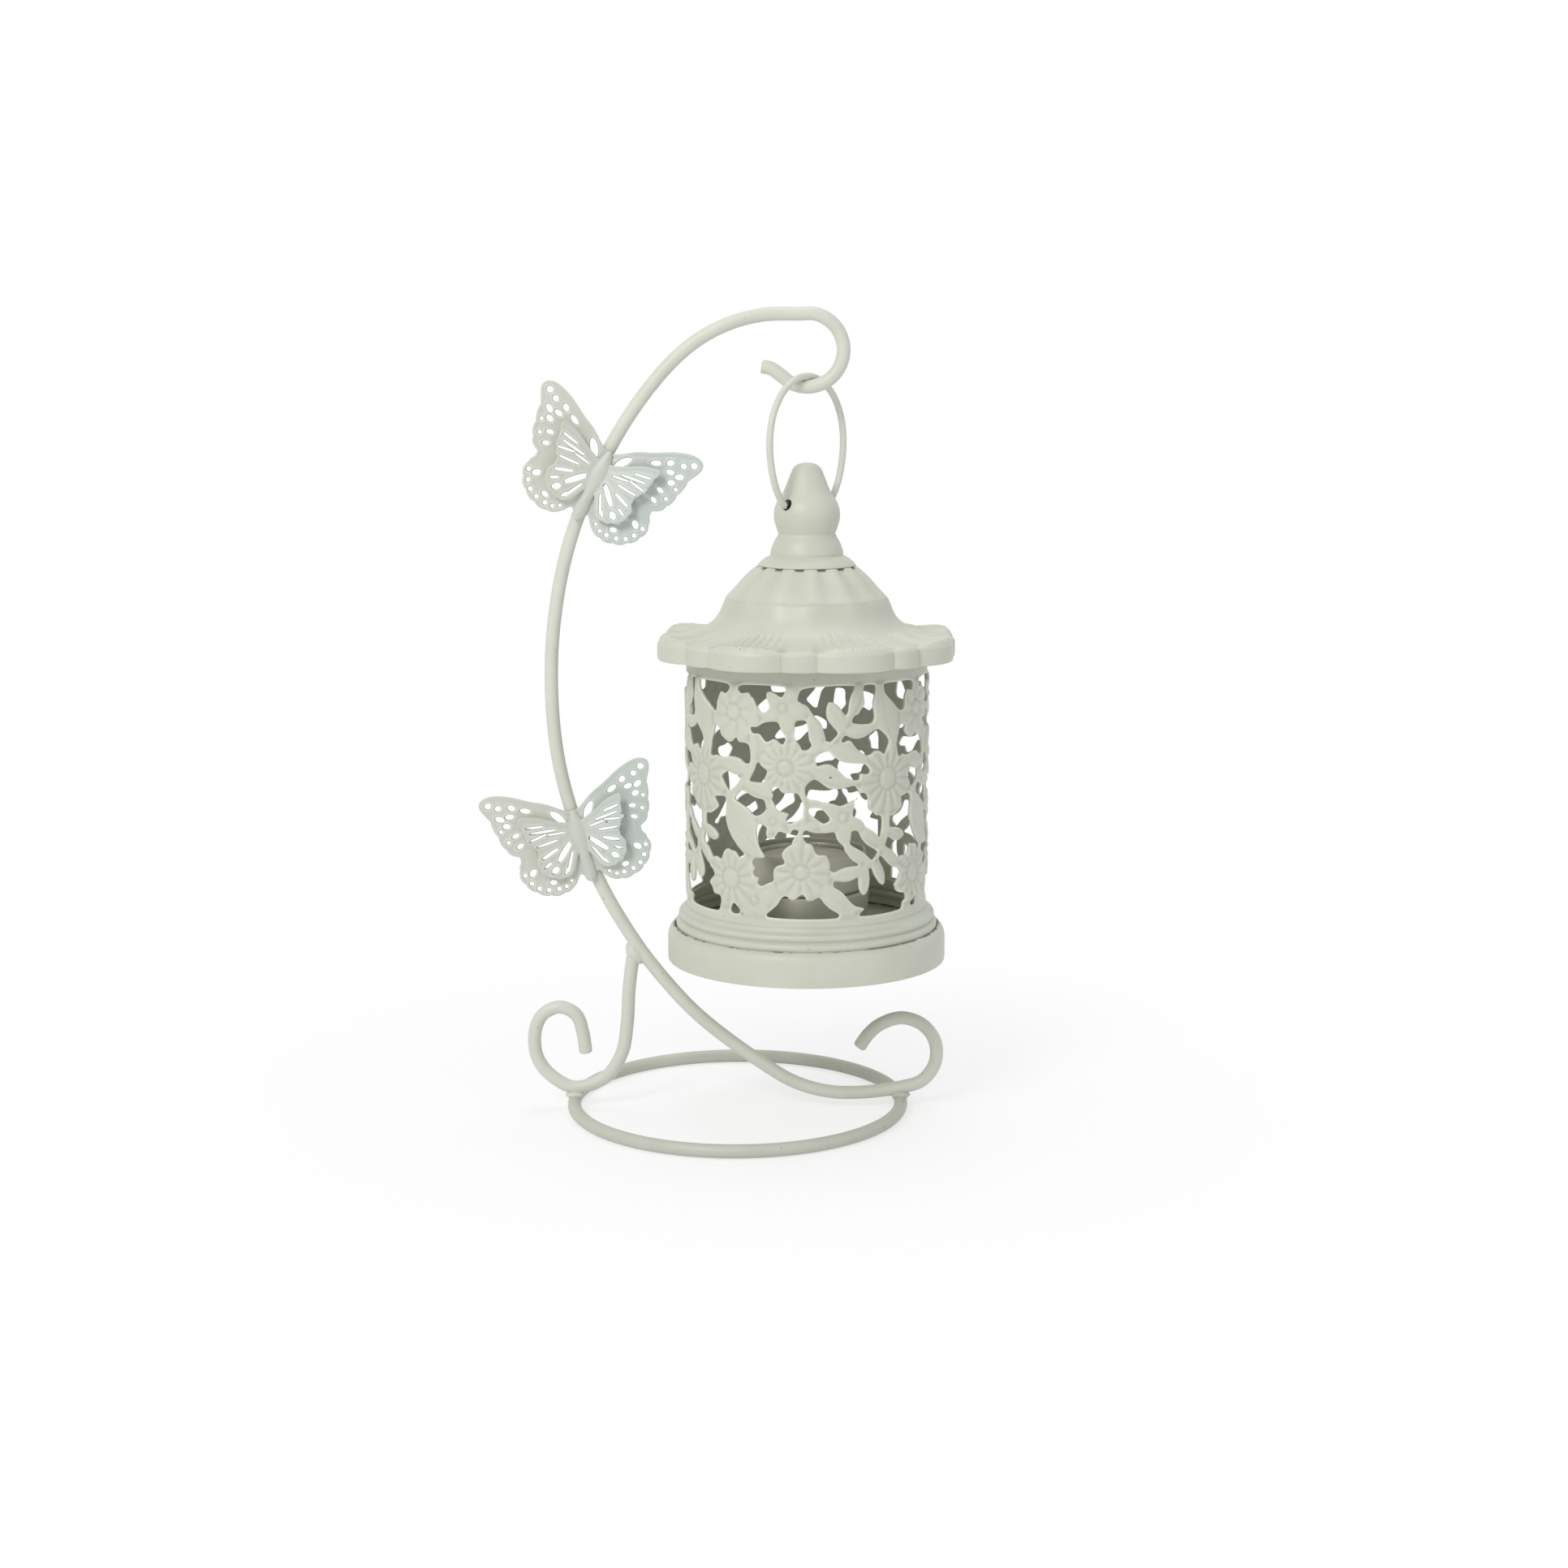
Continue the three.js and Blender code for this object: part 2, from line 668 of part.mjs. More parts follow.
// Rolls a flat sheet into a cylinder of flat facets. Its upper face becomes the outside.
function rolled(solid, outside, facets) {
  const source = geometryOf(solid).attributes.position;
  const width = (2 * Math.PI * outside) / facets;
  const spots = [];
  const place = (v) => {
    const k = Math.min(Math.max(v.x / width, v.column), v.column + 1);
    const share = k - v.column;
    const radius = outside - SHEET + v.z;
    const from = (2 * Math.PI * v.column) / facets;
    const to = (2 * Math.PI * (v.column + 1)) / facets;
    const sine = THREE.MathUtils.lerp(Math.sin(from), Math.sin(to), share);
    const cosine = THREE.MathUtils.lerp(Math.cos(from), Math.cos(to), share);
    spots.push(radius * sine, -radius * cosine, v.y);
  };
  for (let i = 0; i < source.count; i += 3) {
    let rest = [0, 1, 2].map((j) => new THREE.Vector3().fromBufferAttribute(source, i + j));
    const lowest = Math.floor(Math.min(...rest.map((v) => v.x)) / width);
    const highest = Math.ceil(Math.max(...rest.map((v) => v.x)) / width);
    for (let column = lowest; column < highest; column++) {
      const [part, more] = cutOutline(rest, (column + 1) * width);
      rest = more;
      for (let j = 1; j + 1 < part.length; j++) {
        for (const v of [part[0], part[j], part[j + 1]]) place({ x: v.x, y: v.y, z: v.z, column });
      }
      if (rest.length < 3) break;
    }
  }
  const geometry = new THREE.BufferGeometry();
  geometry.setAttribute("position", new THREE.Float32BufferAttribute(spots, 3));
  return geometry;
}

// The foot of the body: a flare and two rounded beads, standing in the tray's groove.
const footOutside = [
  [FOOT_R, SEAT_Z + GAP],
  ...drawn([[0.2, 2.7]], FOOT_R, SEAT_Z),
  ...drawn([[2.9, 4.6], [3.2, 6.3], [1.4, 7.9], [0.25, 10.7]], BODY_R, SEAT_Z),
];

function body() {
  const sheet = solidOf(rolled(flatBody(), BODY_R, FACETS));
  const foot = solidOf(turned([...footOutside, ...lined(footOutside, SHEET + 0.5)], FACETS));
  const lapAngle = degrees(SEAM_ANGLE);
  const lapShape = rectangle(
    lapAngle * BODY_R - SEAM_LAP / 2,
    lapAngle * BODY_R + SEAM_LAP / 2,
    bandBottom,
    bodyTop - 0.4,
  );
  const lap = solidOf(rolled(flatSheet(lapShape), BODY_R - SHEET + SEAM_STEP, FACETS));
  return joined([sheet, foot, lap]).simplify(SIMPLIFY_BY);
}

add(lantern, "pierced_body", onAxis(geometryOf(body())), cream());

// Tray: a pressed round base, open underneath, with a groove for the body and a raised boss.
function tray() {
  const bossTop = SEAT_Z + BOSS_H;
  const inner = TRAY_R - TRAY_SHEET;
  return turned([
    [TRAY_R, TRAY_BOTTOM],
    ...drawn([[0, -1.5], [-0.7, 0.7], [-2.1, 1.8]], TRAY_R, SEAT_Z),
    ...drawn([[0, 1.1], [0, 0]], FOOT_R + GAP, SEAT_Z),
    [BOSS_R, SEAT_Z],
    [BOSS_R, bossTop - EDGE],
    [BOSS_R - EDGE, bossTop],
    [0, bossTop],
    [0, bossTop - TRAY_SHEET],
    [BOSS_R - TRAY_SHEET, bossTop - TRAY_SHEET],
    [BOSS_R - TRAY_SHEET, SEAT_Z - TRAY_SHEET],
    [inner - EDGE, SEAT_Z - TRAY_SHEET],
    [inner, SEAT_Z - TRAY_SHEET - EDGE],
    [inner, TRAY_BOTTOM],
  ]);
}

add(lantern, "base_tray", onAxis(tray()), cream());

const cupBottom = SEAT_Z + BOSS_H + GAP;

function candleCup() {
  const rim = cupBottom + CUP_H;
  return turned([
    [0, cupBottom],
    [CUP_R - EDGE, cupBottom],
    [CUP_R, cupBottom + EDGE],
    [CUP_R, rim],
    [CUP_R - SHEET, rim],
    [CUP_R - SHEET, cupBottom + SHEET],
    [0, cupBottom + SHEET],
  ]);
}

add(lantern, "candle_cup", onAxis(candleCup()), cream());

// Tealight: a thin metal cup, wax, a wick and the small plate that holds the wick.
const tealightBottom = cupBottom + SHEET + GAP;
const waxBottom = tealightBottom + FOIL + GAP;
const waxTop = tealightBottom + TEALIGHT_H - WAX_DOWN;

function tealightCup() {
  const rim = tealightBottom + TEALIGHT_H;
  return turned([
    [0, tealightBottom],
    [TEALIGHT_R, tealightBottom],
    [TEALIGHT_R, rim],
    [TEALIGHT_R - FOIL, rim],
    [TEALIGHT_R - FOIL, tealightBottom + FOIL],
    [0, tealightBottom + FOIL],
  ], SMALL_FACETS);
}

function wax() {
  const outer = TEALIGHT_R - FOIL - GAP;
  return turned([
    [WICK_R + GAP, waxTop - 0.5],
    [WICK_R + GAP, waxBottom + PLATE_H + PLATE_NECK_H + GAP],
    [PLATE_NECK_R + GAP, waxBottom + PLATE_H + PLATE_NECK_H + GAP],
    [PLATE_NECK_R + GAP, waxBottom + PLATE_H + GAP],
    [PLATE_R + GAP, waxBottom + PLATE_H + GAP],
    [PLATE_R + GAP, waxBottom],
    [outer, waxBottom],
    [outer, waxTop],
  ], SMALL_FACETS);
}

function wickPlate() {
  return turned(
    [
      [WICK_R + GAP, waxBottom],
      [PLATE_R, waxBottom],
      [PLATE_R, waxBottom + PLATE_H],
      [PLATE_NECK_R, waxBottom + PLATE_H],
      [PLATE_NECK_R, waxBottom + PLATE_H + PLATE_NECK_H],
      [WICK_R + GAP, waxBottom + PLATE_H + PLATE_NECK_H],
    ],
    SMALL_FACETS,
  );
}

function wick() {
  return turned(
    [
      [0, waxBottom],
      [WICK_R, waxBottom],
      [WICK_R, waxTop + WICK_OUT - 0.6],
      [WICK_R * 0.5, waxTop + WICK_OUT],
      [0, waxTop + WICK_OUT],
    ],
    WICK_FACETS,
  );
}

add(tealight, "tealight_cup", onAxis(tealightCup()), paint("#c9cacb", 0.35, 0.9));
add(tealight, "tealight_wax", onAxis(wax()), paint("#efeade", 0.6, 0));
add(tealight, "wick_plate", onAxis(wickPlate()), paint("#b9babb", 0.4, 0.9));
add(tealight, "tealight_wick", onAxis(wick()), paint("#d9d2c2", 0.9, 0));

// The part's origin is on the table under the middle of the whole object.
model.updateMatrixWorld(true);
const box = new THREE.Box3().setFromObject(model, true);
const centre = box.getCenter(new THREE.Vector3());
model.position.set(-centre.x, -centre.y, -box.min.z);

export default model;
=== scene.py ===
"""A hanging tealight lantern on a curled wire stand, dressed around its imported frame."""

import math

import bpy
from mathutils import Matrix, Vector
import numpy as np

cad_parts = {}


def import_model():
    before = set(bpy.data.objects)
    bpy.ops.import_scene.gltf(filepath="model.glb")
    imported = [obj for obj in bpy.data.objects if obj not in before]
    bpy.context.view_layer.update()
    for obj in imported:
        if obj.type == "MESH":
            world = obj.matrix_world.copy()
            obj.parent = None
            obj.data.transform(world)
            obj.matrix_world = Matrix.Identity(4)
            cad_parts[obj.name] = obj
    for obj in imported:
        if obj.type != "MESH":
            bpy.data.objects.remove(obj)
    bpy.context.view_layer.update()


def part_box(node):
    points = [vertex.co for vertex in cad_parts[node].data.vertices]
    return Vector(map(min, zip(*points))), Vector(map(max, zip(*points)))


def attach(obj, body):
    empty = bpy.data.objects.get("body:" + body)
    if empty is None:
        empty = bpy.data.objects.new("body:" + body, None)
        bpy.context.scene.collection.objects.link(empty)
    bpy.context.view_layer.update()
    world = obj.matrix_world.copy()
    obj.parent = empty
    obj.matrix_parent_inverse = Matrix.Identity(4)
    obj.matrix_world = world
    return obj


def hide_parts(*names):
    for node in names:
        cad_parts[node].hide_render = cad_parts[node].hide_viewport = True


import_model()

MM = 0.001

# Sizes in millimetres. X is measured from the middle of the base ring.
RING_X = sum(corner.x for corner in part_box("base_ring")) / 2 / MM
AXIS_X = sum(corner.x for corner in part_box("base_tray")) / 2 / MM - RING_X
WIRE_R = 2.5
RING_R = 62
BAIL_R = 1.25
BAIL_TURN = math.radians(49)
PIN_Z = 229
HOOK_Z = 271.2
HOOK_R = 13.2
TOP_Z = 299.94
BODY_R = 44.5
SHEET = 0.8


# Meshes: a shape is a pair of an array of points and a list of faces.

def shapes_joined(shapes):
    points, faces, start = [], [], 0
    for spots, polygons in shapes:
        points.append(np.asarray(spots, float))
        faces.extend(tuple(i + start for i in polygon) for polygon in polygons)
        start += len(spots)
    return np.concatenate(points), faces


def added(name, data):
    """Puts an object in the scene."""
    thing = bpy.data.objects.new(name, data)
    bpy.context.scene.collection.objects.link(thing)
    return thing


def mesh_of(name, shape):
    """A mesh in metres from a shape in millimetres."""
    points, faces = shape
    spots = (np.asarray(points, float) + [RING_X, 0, 0]) * MM
    mesh = bpy.data.meshes.new(name)
    mesh.from_pydata(spots.tolist(), [], faces)
    return mesh


def piece(name, shape, material, body, node, sharp=35, marks=None):
    """Makes a shape into an object that rides on a body and stands for a CAD node. Marks are
    values at its points, from 0 to 1, that its paint reads by their names."""
    mesh = mesh_of(name, shape)
    mesh.update()
    for value_name, values in (marks or {}).items():
        layer = mesh.attributes.new(value_name, "FLOAT", "POINT")
        layer.data.foreach_set("value", np.asarray(values, np.float32))
    mesh.shade_smooth()
    mesh.set_sharp_from_angle(angle=math.radians(sharp))
    mesh.materials.append(material)
    thing = added(name, mesh)
    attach(thing, body)
    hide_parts(node)
    return thing


def repainted(thing, material, reach, low, high):
    """Gives a material to the faces near the lantern's axis and between two heights."""
    thing.data.materials.append(material)
    for polygon in thing.data.polygons:
        x, y, z = polygon.center
        if low * MM < z < high * MM and math.hypot(x - (RING_X + AXIS_X) * MM, y) < reach * MM:
            polygon.material_index = 1


def spline(points, per_span=8):
    """A smooth line through points, as a centripetal Catmull-Rom curve."""
    p = np.asarray(points, float)
    p = np.vstack([2 * p[0] - p[1], p, 2 * p[-1] - p[-2]])
    line = []
    for k in range(1, len(p) - 2):
        p0, p1, p2, p3 = p[k - 1:k + 3]
        d0, d1, d2 = (max(np.linalg.norm(b - a), 1e-6) ** 0.5
                      for a, b in ((p0, p1), (p1, p2), (p2, p3)))
        t1 = ((p1 - p0) / d0 - (p2 - p0) / (d0 + d1) + (p2 - p1) / d1) * d1
        t2 = ((p2 - p1) / d1 - (p3 - p1) / (d1 + d2) + (p3 - p2) / d2) * d1
        steps = per_span + (1 if k == len(p) - 3 else 0)
        for t in np.arange(steps) / per_span:
            line.append(p1 + t1 * t + (-3 * p1 + 3 * p2 - 2 * t1 - t2) * t ** 2
                        + (2 * p1 - 2 * p2 + t1 + t2) * t ** 3)
    return np.array(line)


def directions(line):
    """The unit direction of a line at each of its points."""
    along = np.gradient(line, axis=0)
    return along / np.linalg.norm(along, axis=1)[:, None]


def beside(line, distance):
    """A line moved to the right of its direction."""
    along = directions(line)
    return line + np.stack([along[:, 1], -along[:, 0]], 1) * distance


def full_turn(count):
    return np.arange(count) * 2 * math.pi / count


def around_axis(radii, angles, heights):
    """Points round the lantern's axis. The angle is 0 at the front and grows to the right."""
    return np.stack([AXIS_X + radii * np.sin(angles), -radii * np.cos(angles),
                     heights + np.zeros_like(angles)], 1)


def grid_faces(rows, columns):
    """Quads between rows of points, each of which closes on itself."""
    faces = []
    for i in range(rows - 1):
        for j in range(columns):
            k = (j + 1) % columns
            faces.append((i * columns + j, i * columns + k,
                          (i + 1) * columns + k, (i + 1) * columns + j))
    return faces


def capped(rows, columns):
    """The quads between rows of points, and a face over the first row and the last."""
    return grid_faces(rows, columns) + [tuple(range(columns))[::-1],
                                        tuple(range((rows - 1) * columns, rows * columns))]


def tube(line, radius, turn=0.0, sides=24):
    """A round wire along a line of (across, up) points in an upright plane, with blunt ends.
    The plane is turned about the upright line where across is 0."""
    line = np.asarray(line, float)
    along = directions(line)
    # How far in from an end, and the share of the radius there.
    ends = [(0, 0.02), (0, 0.72), (0.12 * radius, 0.93), (0.4 * radius, 1)]
    stations = [(line[0] + along[0] * shift, along[0], share) for shift, share in ends]
    stations += [(p, a, 1.0) for p, a in zip(line[1:-1], along[1:-1])]
    stations += [(line[-1] - along[-1] * shift, along[-1], share) for shift, share in ends[::-1]]
    angles = full_turn(sides)
    rows = []
    for p, a, share in stations:
        u = p[0] - a[1] * radius * share * np.cos(angles)
        z = p[1] + a[0] * radius * share * np.cos(angles)
        v = radius * share * np.sin(angles)
        rows.append(np.stack([u * math.cos(turn) - v * math.sin(turn),
                              u * math.sin(turn) + v * math.cos(turn), z], 1))
    return np.concatenate(rows), capped(len(rows), sides)


def turned(profile, segments=128, closed=True, ripple=None):
    """A turned piece on the lantern's axis from (radius, height) pairs. If closed, the last
    pair joins the first. A ripple is added to the radii."""
    angles = full_turn(segments)
    rows = []
    for r, z in profile:
        radii = np.full(segments, max(r, 0.01))
        if ripple:
            radii = radii + ripple(r, z, angles)
        rows.append(around_axis(radii, angles, z))
    if closed:
        rows.append(rows[0])
    return np.concatenate(rows), grid_faces(len(rows), segments)


def rounded(points, radius, steps=4):
    """Replaces the corners of an open profile by small curves."""
    p = np.asarray(points, float)
    out = [p[0]]
    for a, b, c in zip(p[:-2], p[1:-1], p[2:]):
        la, lc = np.linalg.norm(a - b), np.linalg.norm(c - b)
        start = b + (a - b) / la * min(radius, la * 0.45)
        end = b + (c - b) / lc * min(radius, lc * 0.45)
        for t in np.linspace(0, 1, steps + 1):
            out.append((1 - t) ** 2 * start + 2 * t * (1 - t) * b + t ** 2 * end)
    out.append(p[-1])
    return np.array(out)


# Fields on a flat sheet.

FAR = 1e9
# A cut edge of the grid is crossed between these shares of it, so that no face is a sliver.
CROSSINGS = (0.06, 0.94)


def softened(outline, rounds=2):
    """Cuts the corners of a closed outline."""
    p = np.asarray(outline, float)
    for _ in range(rounds):
        q = np.roll(p, -1, 0)
        p = np.stack([0.75 * p + 0.25 * q, 0.25 * p + 0.75 * q], 1).reshape(-1, 2)
    return p


def depth_inside(u, v, outline):
    """Distance from a closed outline, positive inside it."""
    best = np.full(u.shape, FAR)
    inside = np.zeros(u.shape, bool)
    for (x0, y0), (x1, y1) in zip(outline, np.roll(outline, -1, 0)):
        dx, dy = x1 - x0, y1 - y0
        length = dx * dx + dy * dy
        if length < 1e-12:
            continue
        t = np.clip(((u - x0) * dx + (v - y0) * dy) / length, 0, 1)
        best = np.minimum(best, (u - x0 - t * dx) ** 2 + (v - y0 - t * dy) ** 2)
        if dy:
            inside ^= ((y0 > v) != (y1 > v)) & (u < dx * (v - y0) / dy + x0)
    return np.sqrt(best) * np.where(inside, 1, -1)


def smooth(low, high, x):
    """0 at low and 1 at high, with a soft step between them."""
    t = np.clip((x - low) / (high - low), 0, 1)
    return t * t * (3 - 2 * t)


def ridge(x, middle, width):
    """1 in the middle, falling to almost nothing at twice the width."""
    return np.exp(-((x - middle) / width) ** 2)


def dome(x):
    """The height of a half circle of radius 1."""
    return np.sqrt(np.clip(1 - x ** 2, 0, 1))


def to_segment(u, v, x0, y0, x1, y1):
    """The share of a segment's length at its nearest point, and the distance to it."""
    dx, dy = x1 - x0, y1 - y0
    t = np.clip(((u - x0) * dx + (v - y0) * dy) / (dx ** 2 + dy ** 2), 0, 1)
    return t, np.hypot(u - x0 - t * dx, v - y0 - t * dy)


def blurred(field, reach):
    """The mean over a square that reaches some cells to each side."""
    for axis in (0, 1):
        field = sum(np.roll(field, shift, axis) for shift in range(-reach, reach + 1))
    return field / (2 * reach + 1) ** 2


def pitted(relief, gain, most):
    """How much lower each point is than what is round it."""
    return np.clip((blurred(relief, 3) - relief) * gain, 0, 1) * most


def rolled_edge(depth, reach, drop):
    """How far a face falls away towards the edges of its sheet."""
    return drop * (1 - dome(1 - np.clip(depth, 0, reach) / reach))


def sheet(depth, wrap, faces_of):
    """A closed sheet where depth is positive. faces_of(i, j, at) gives the points of its outer
    and its inner face for positions in the grid; at(field) is a field's value at each of them.
    The first axis of the grid closes on itself if it wraps."""
    rows, columns = depth.shape
    inside = depth > 0
    ids = np.full(depth.shape, -1)
    ids[inside] = np.arange(inside.sum())
    base_i, base_j = np.nonzero(inside)
    spots = [np.stack([base_i, base_j], 1).astype(float)]
    pairs = [np.stack([base_i, base_j, base_i, base_j, np.zeros_like(base_i)], 1).astype(float)]
    count = len(base_i)
    crossings = {}
    for axis in (0, 1):
        step_i, step_j = (1, 0) if axis == 0 else (0, 1)
        reach_i = rows if (wrap and axis == 0) else rows - step_i
        i, j = np.meshgrid(np.arange(reach_i), np.arange(columns - step_j), indexing="ij")
        i, j = i.ravel(), j.ravel()
        other_i, other_j = (i + step_i) % rows, j + step_j
        a, b = depth[i, j], depth[other_i, other_j]
        cut = (a > 0) != (b > 0)
        i, j, other_i, other_j, a, b = (x[cut] for x in (i, j, other_i, other_j, a, b))
        t = np.clip(a / (a - b), *CROSSINGS)
        spots.append(np.stack([i + t * step_i, j + t * step_j], 1))
        pairs.append(np.stack([i, j, other_i, other_j, t], 1))
        for k, (p, q) in enumerate(zip(i.tolist(), j.tolist())):
            crossings[(axis, p, q)] = count + k
        count += len(i)
    spots = np.concatenate(spots)
    pairs = np.concatenate(pairs)
    whole = pairs[:, :4].astype(int)
    share = pairs[:, 4]

    def at(field):
        return (field[whole[:, 0], whole[:, 1]] * (1 - share)
                + field[whole[:, 2], whole[:, 3]] * share)

    faces, walls = [], []
    last_i = rows if wrap else rows - 1
    for i in range(last_i):
        n = (i + 1) % rows
        corner = inside[i, :-1].astype(int) + inside[n, :-1] + inside[i, 1:] + inside[n, 1:]
        for j in np.nonzero(corner == 4)[0].tolist():
            faces.append((ids[i, j], ids[n, j], ids[n, j + 1], ids[i, j + 1]))
        for j in np.nonzero((corner > 0) & (corner < 4))[0].tolist():
            around = [((i, j), (0, i, j)), ((n, j), (1, n, j)),
                      ((n, j + 1), (0, i, j + 1)), ((i, j + 1), (1, i, j))]
            polygon = []
            for spot, edge in around:
                if inside[spot]:
                    polygon.append((ids[spot], False))
                if edge in crossings:
                    polygon.append((crossings[edge], True))
            loop = [p for p, _ in polygon]
            faces.append(tuple(loop))
            for k, (p, cut) in enumerate(polygon):
                q, next_cut = polygon[(k + 1) % len(polygon)]
                came_inside = not polygon[k - 1][1]
                if cut and next_cut and came_inside:
                    walls.append((p, q))
    for j in (0, columns - 1):
        for i in range(last_i):
            n = (i + 1) % rows
            if inside[i, j] and inside[n, j]:
                edge = (ids[n, j], ids[i, j])
                walls.append(edge if j == 0 else edge[::-1])
    outer, inner = faces_of(spots[:, 0], spots[:, 1], at)
    total = len(outer)
    points = np.concatenate([outer, inner])
    closed = list(faces)
    closed += [tuple(p + total for p in face[::-1]) for face in faces]
    closed += [(q, p, p + total, q + total) for p, q in walls]
    closed = [tuple(int(p) for p in face) for face in closed]
    return (points, closed), at


# Materials.

def node_material(name):
    """A material with its tree, its shader and the place on the object in metres."""
    material = bpy.data.materials.new(name)
    material.use_nodes = True
    tree = material.node_tree
    place = tree.nodes.new("ShaderNodeTexCoord").outputs["Object"]
    return material, tree, tree.nodes["Principled BSDF"], place


def filled(tree, node, inputs):
    """Gives inputs of a node their values: numbers, colours or outputs of other nodes."""
    for key, value in inputs.items():
        if isinstance(value, bpy.types.NodeSocket):
            tree.links.new(value, node.inputs[key])
        else:
            node.inputs[key].default_value = value
    return node


def new_node(tree, kind, inputs):
    return filled(tree, tree.nodes.new(kind), inputs)


def noise_of(tree, place, scale, detail=3.0, roughness=0.55):
    """Noise with a scale of about so many lumps per metre."""
    return new_node(tree, "ShaderNodeTexNoise", {
        "Scale": scale, "Detail": detail, "Roughness": roughness, "Vector": place,
    }).outputs["Fac"]


def ramp(tree, value, *stops):
    """Turns a value into a colour by two stops of a position and a colour."""
    node = new_node(tree, "ShaderNodeValToRGB", {"Fac": value})
    for element, (position, colour) in zip(node.color_ramp.elements, stops):
        element.position = position
        element.color = colour
    return node.outputs["Color"]


def mixed(tree, factor, a, b, blend="MIX"):
    node = tree.nodes.new("ShaderNodeMix")
    node.data_type = "RGBA"
    node.blend_type = blend
    return filled(tree, node, {"Factor": factor, 6: a, 7: b}).outputs[2]


def mark_of(tree, name):
    """The value that a piece's points have under a name."""
    node = tree.nodes.new("ShaderNodeAttribute")
    node.attribute_name = name
    return node.outputs["Fac"]


def bumped(tree, height, distance, strength=1.0):
    return new_node(tree, "ShaderNodeBump", {
        "Distance": distance, "Strength": strength, "Height": height,
    }).outputs["Normal"]


def linear(colour):
    """The scene-linear value of an 8-bit screen colour."""
    return (*(c / 255 / 12.92 if c / 255 <= 0.04045 else ((c / 255 + 0.055) / 1.055) ** 2.4
              for c in colour), 1)


def grey(value):
    return (value, value, value, 1)


BLACK, WHITE = grey(0), grey(1)
SEAM_DIRT = (66, 62, 54)
CHIP = (72, 66, 58)
# How much lighter the painted highlight on cut rims is, and the lightest it may be.
RIM_HIGHLIGHT_LIFT, LIGHTEST = 14, 236


def paint(name, light, dark, shading, side_shade_tint=None):
    """Satin enamel over metal: faint blotches, painted shade in the recesses, a painted highlight
    on the rims of cut edges, a broken dark line in seams, rare dark chips and an orange-peel skin.
    A bluish painted shade goes on where the piece marks the side that is turned from the light."""
    material, tree, shader, place = node_material(name)
    colour = ramp(tree, noise_of(tree, place, 45, 4), (0.35, linear(dark)), (0.65, linear(light)))
    # Painted shade, darker where a piece marks its recesses, gaps and shaded faces.
    colour = mixed(tree, mark_of(tree, "painted_shade"), colour, linear(shading))
    # A painted highlight along the rims of cut edges.
    highlight = tuple(min(c + RIM_HIGHLIGHT_LIFT, LIGHTEST) for c in light)
    colour = mixed(tree, mark_of(tree, "rim"), colour, linear(highlight))
    broken = ramp(tree, noise_of(tree, place, 150, 4, 0.7), (0.44, BLACK), (0.5, WHITE))
    broken = mixed(tree, 1.0, broken, mark_of(tree, "seam"), "MULTIPLY")
    colour = mixed(tree, broken, colour, linear(SEAM_DIRT))
    chips = ramp(tree, noise_of(tree, place, 620, 2, 0.4), (0.745, BLACK), (0.77, WHITE))
    where = ramp(tree, noise_of(tree, place, 38, 1), (0.52, BLACK), (0.6, WHITE))
    chips = mixed(tree, 1.0, chips, where, "MULTIPLY")
    colour = mixed(tree, chips, colour, linear(CHIP))
    # A bluish painted shade on the side of a piece that is turned from the light.
    if side_shade_tint:
        shaded_colour = mixed(tree, 1.0, colour, side_shade_tint, "MULTIPLY")
        colour = mixed(tree, mark_of(tree, "shaded_side"), colour, shaded_colour)
    gloss = ramp(tree, noise_of(tree, place, 90, 3), (0.3, grey(0.4)), (0.7, grey(0.53)))
    skin = bumped(tree, noise_of(tree, place, 500, 2, 0.4), 0.00003, 0.22)
    filled(tree, shader, {"Base Color": colour, "Roughness": gloss, "Normal": skin})
    return material


# Each paint: its two tones, the colour of its painted shade, and for the butterflies the tint of
# their bluish painted shade.
cream = paint("lantern_paint", (204, 206, 192), (198, 200, 185), (120, 132, 108))
stand_cream = paint("stand_paint", (213, 215, 203), (206, 208, 196), (126, 130, 110))
wing_cream = paint("butterfly_paint", (207, 208, 197), (201, 203, 193), (140, 148, 142),
                   (0.86, 0.93, 0.965, 1))
cup_cream = paint("cup_paint", (214, 214, 197), (206, 206, 189), (132, 136, 114))


def metal(name, colour, roughness, patch_scale, metallic=1.0):
    """Bare metal with darker, duller patches."""
    material, tree, shader, place = node_material(name)
    tone = noise_of(tree, place, patch_scale, 5)
    darker = tuple(c * 0.8 for c in colour)
    filled(tree, shader, {
        "Base Color": ramp(tree, tone, (0.3, linear(darker)), (0.7, linear(colour))),
        "Roughness": ramp(tree, tone, (0.3, grey(roughness + 0.12)), (0.7, grey(roughness))),
        "Metallic": metallic,
        "Normal": bumped(tree, noise_of(tree, place, patch_scale * 6, 3), 0.00008)})
    return material


foil_metal = metal("foil", (208, 206, 200), 0.38, 160)
tin = metal("tin_plate", (190, 190, 188), 0.36, 240)
bare_wire = metal("bare_wire", (86, 84, 80), 0.5, 300, 0.8)


def wax_material():
    material, tree, shader, place = node_material("wax")
    cloud = noise_of(tree, place, 130, 4)
    filled(tree, shader, {
        "Base Color": ramp(tree, cloud, (0.3, linear((226, 221, 206))),
                           (0.7, linear((240, 236, 224)))),
        "Subsurface Weight": 0.25,
        "Subsurface Radius": (0.004, 0.003, 0.002),
        "Roughness": ramp(tree, cloud, (0.3, grey(0.42)), (0.7, grey(0.55))),
        "Normal": bumped(tree, noise_of(tree, place, 420, 3), 0.0002, 0.7)})
    return material


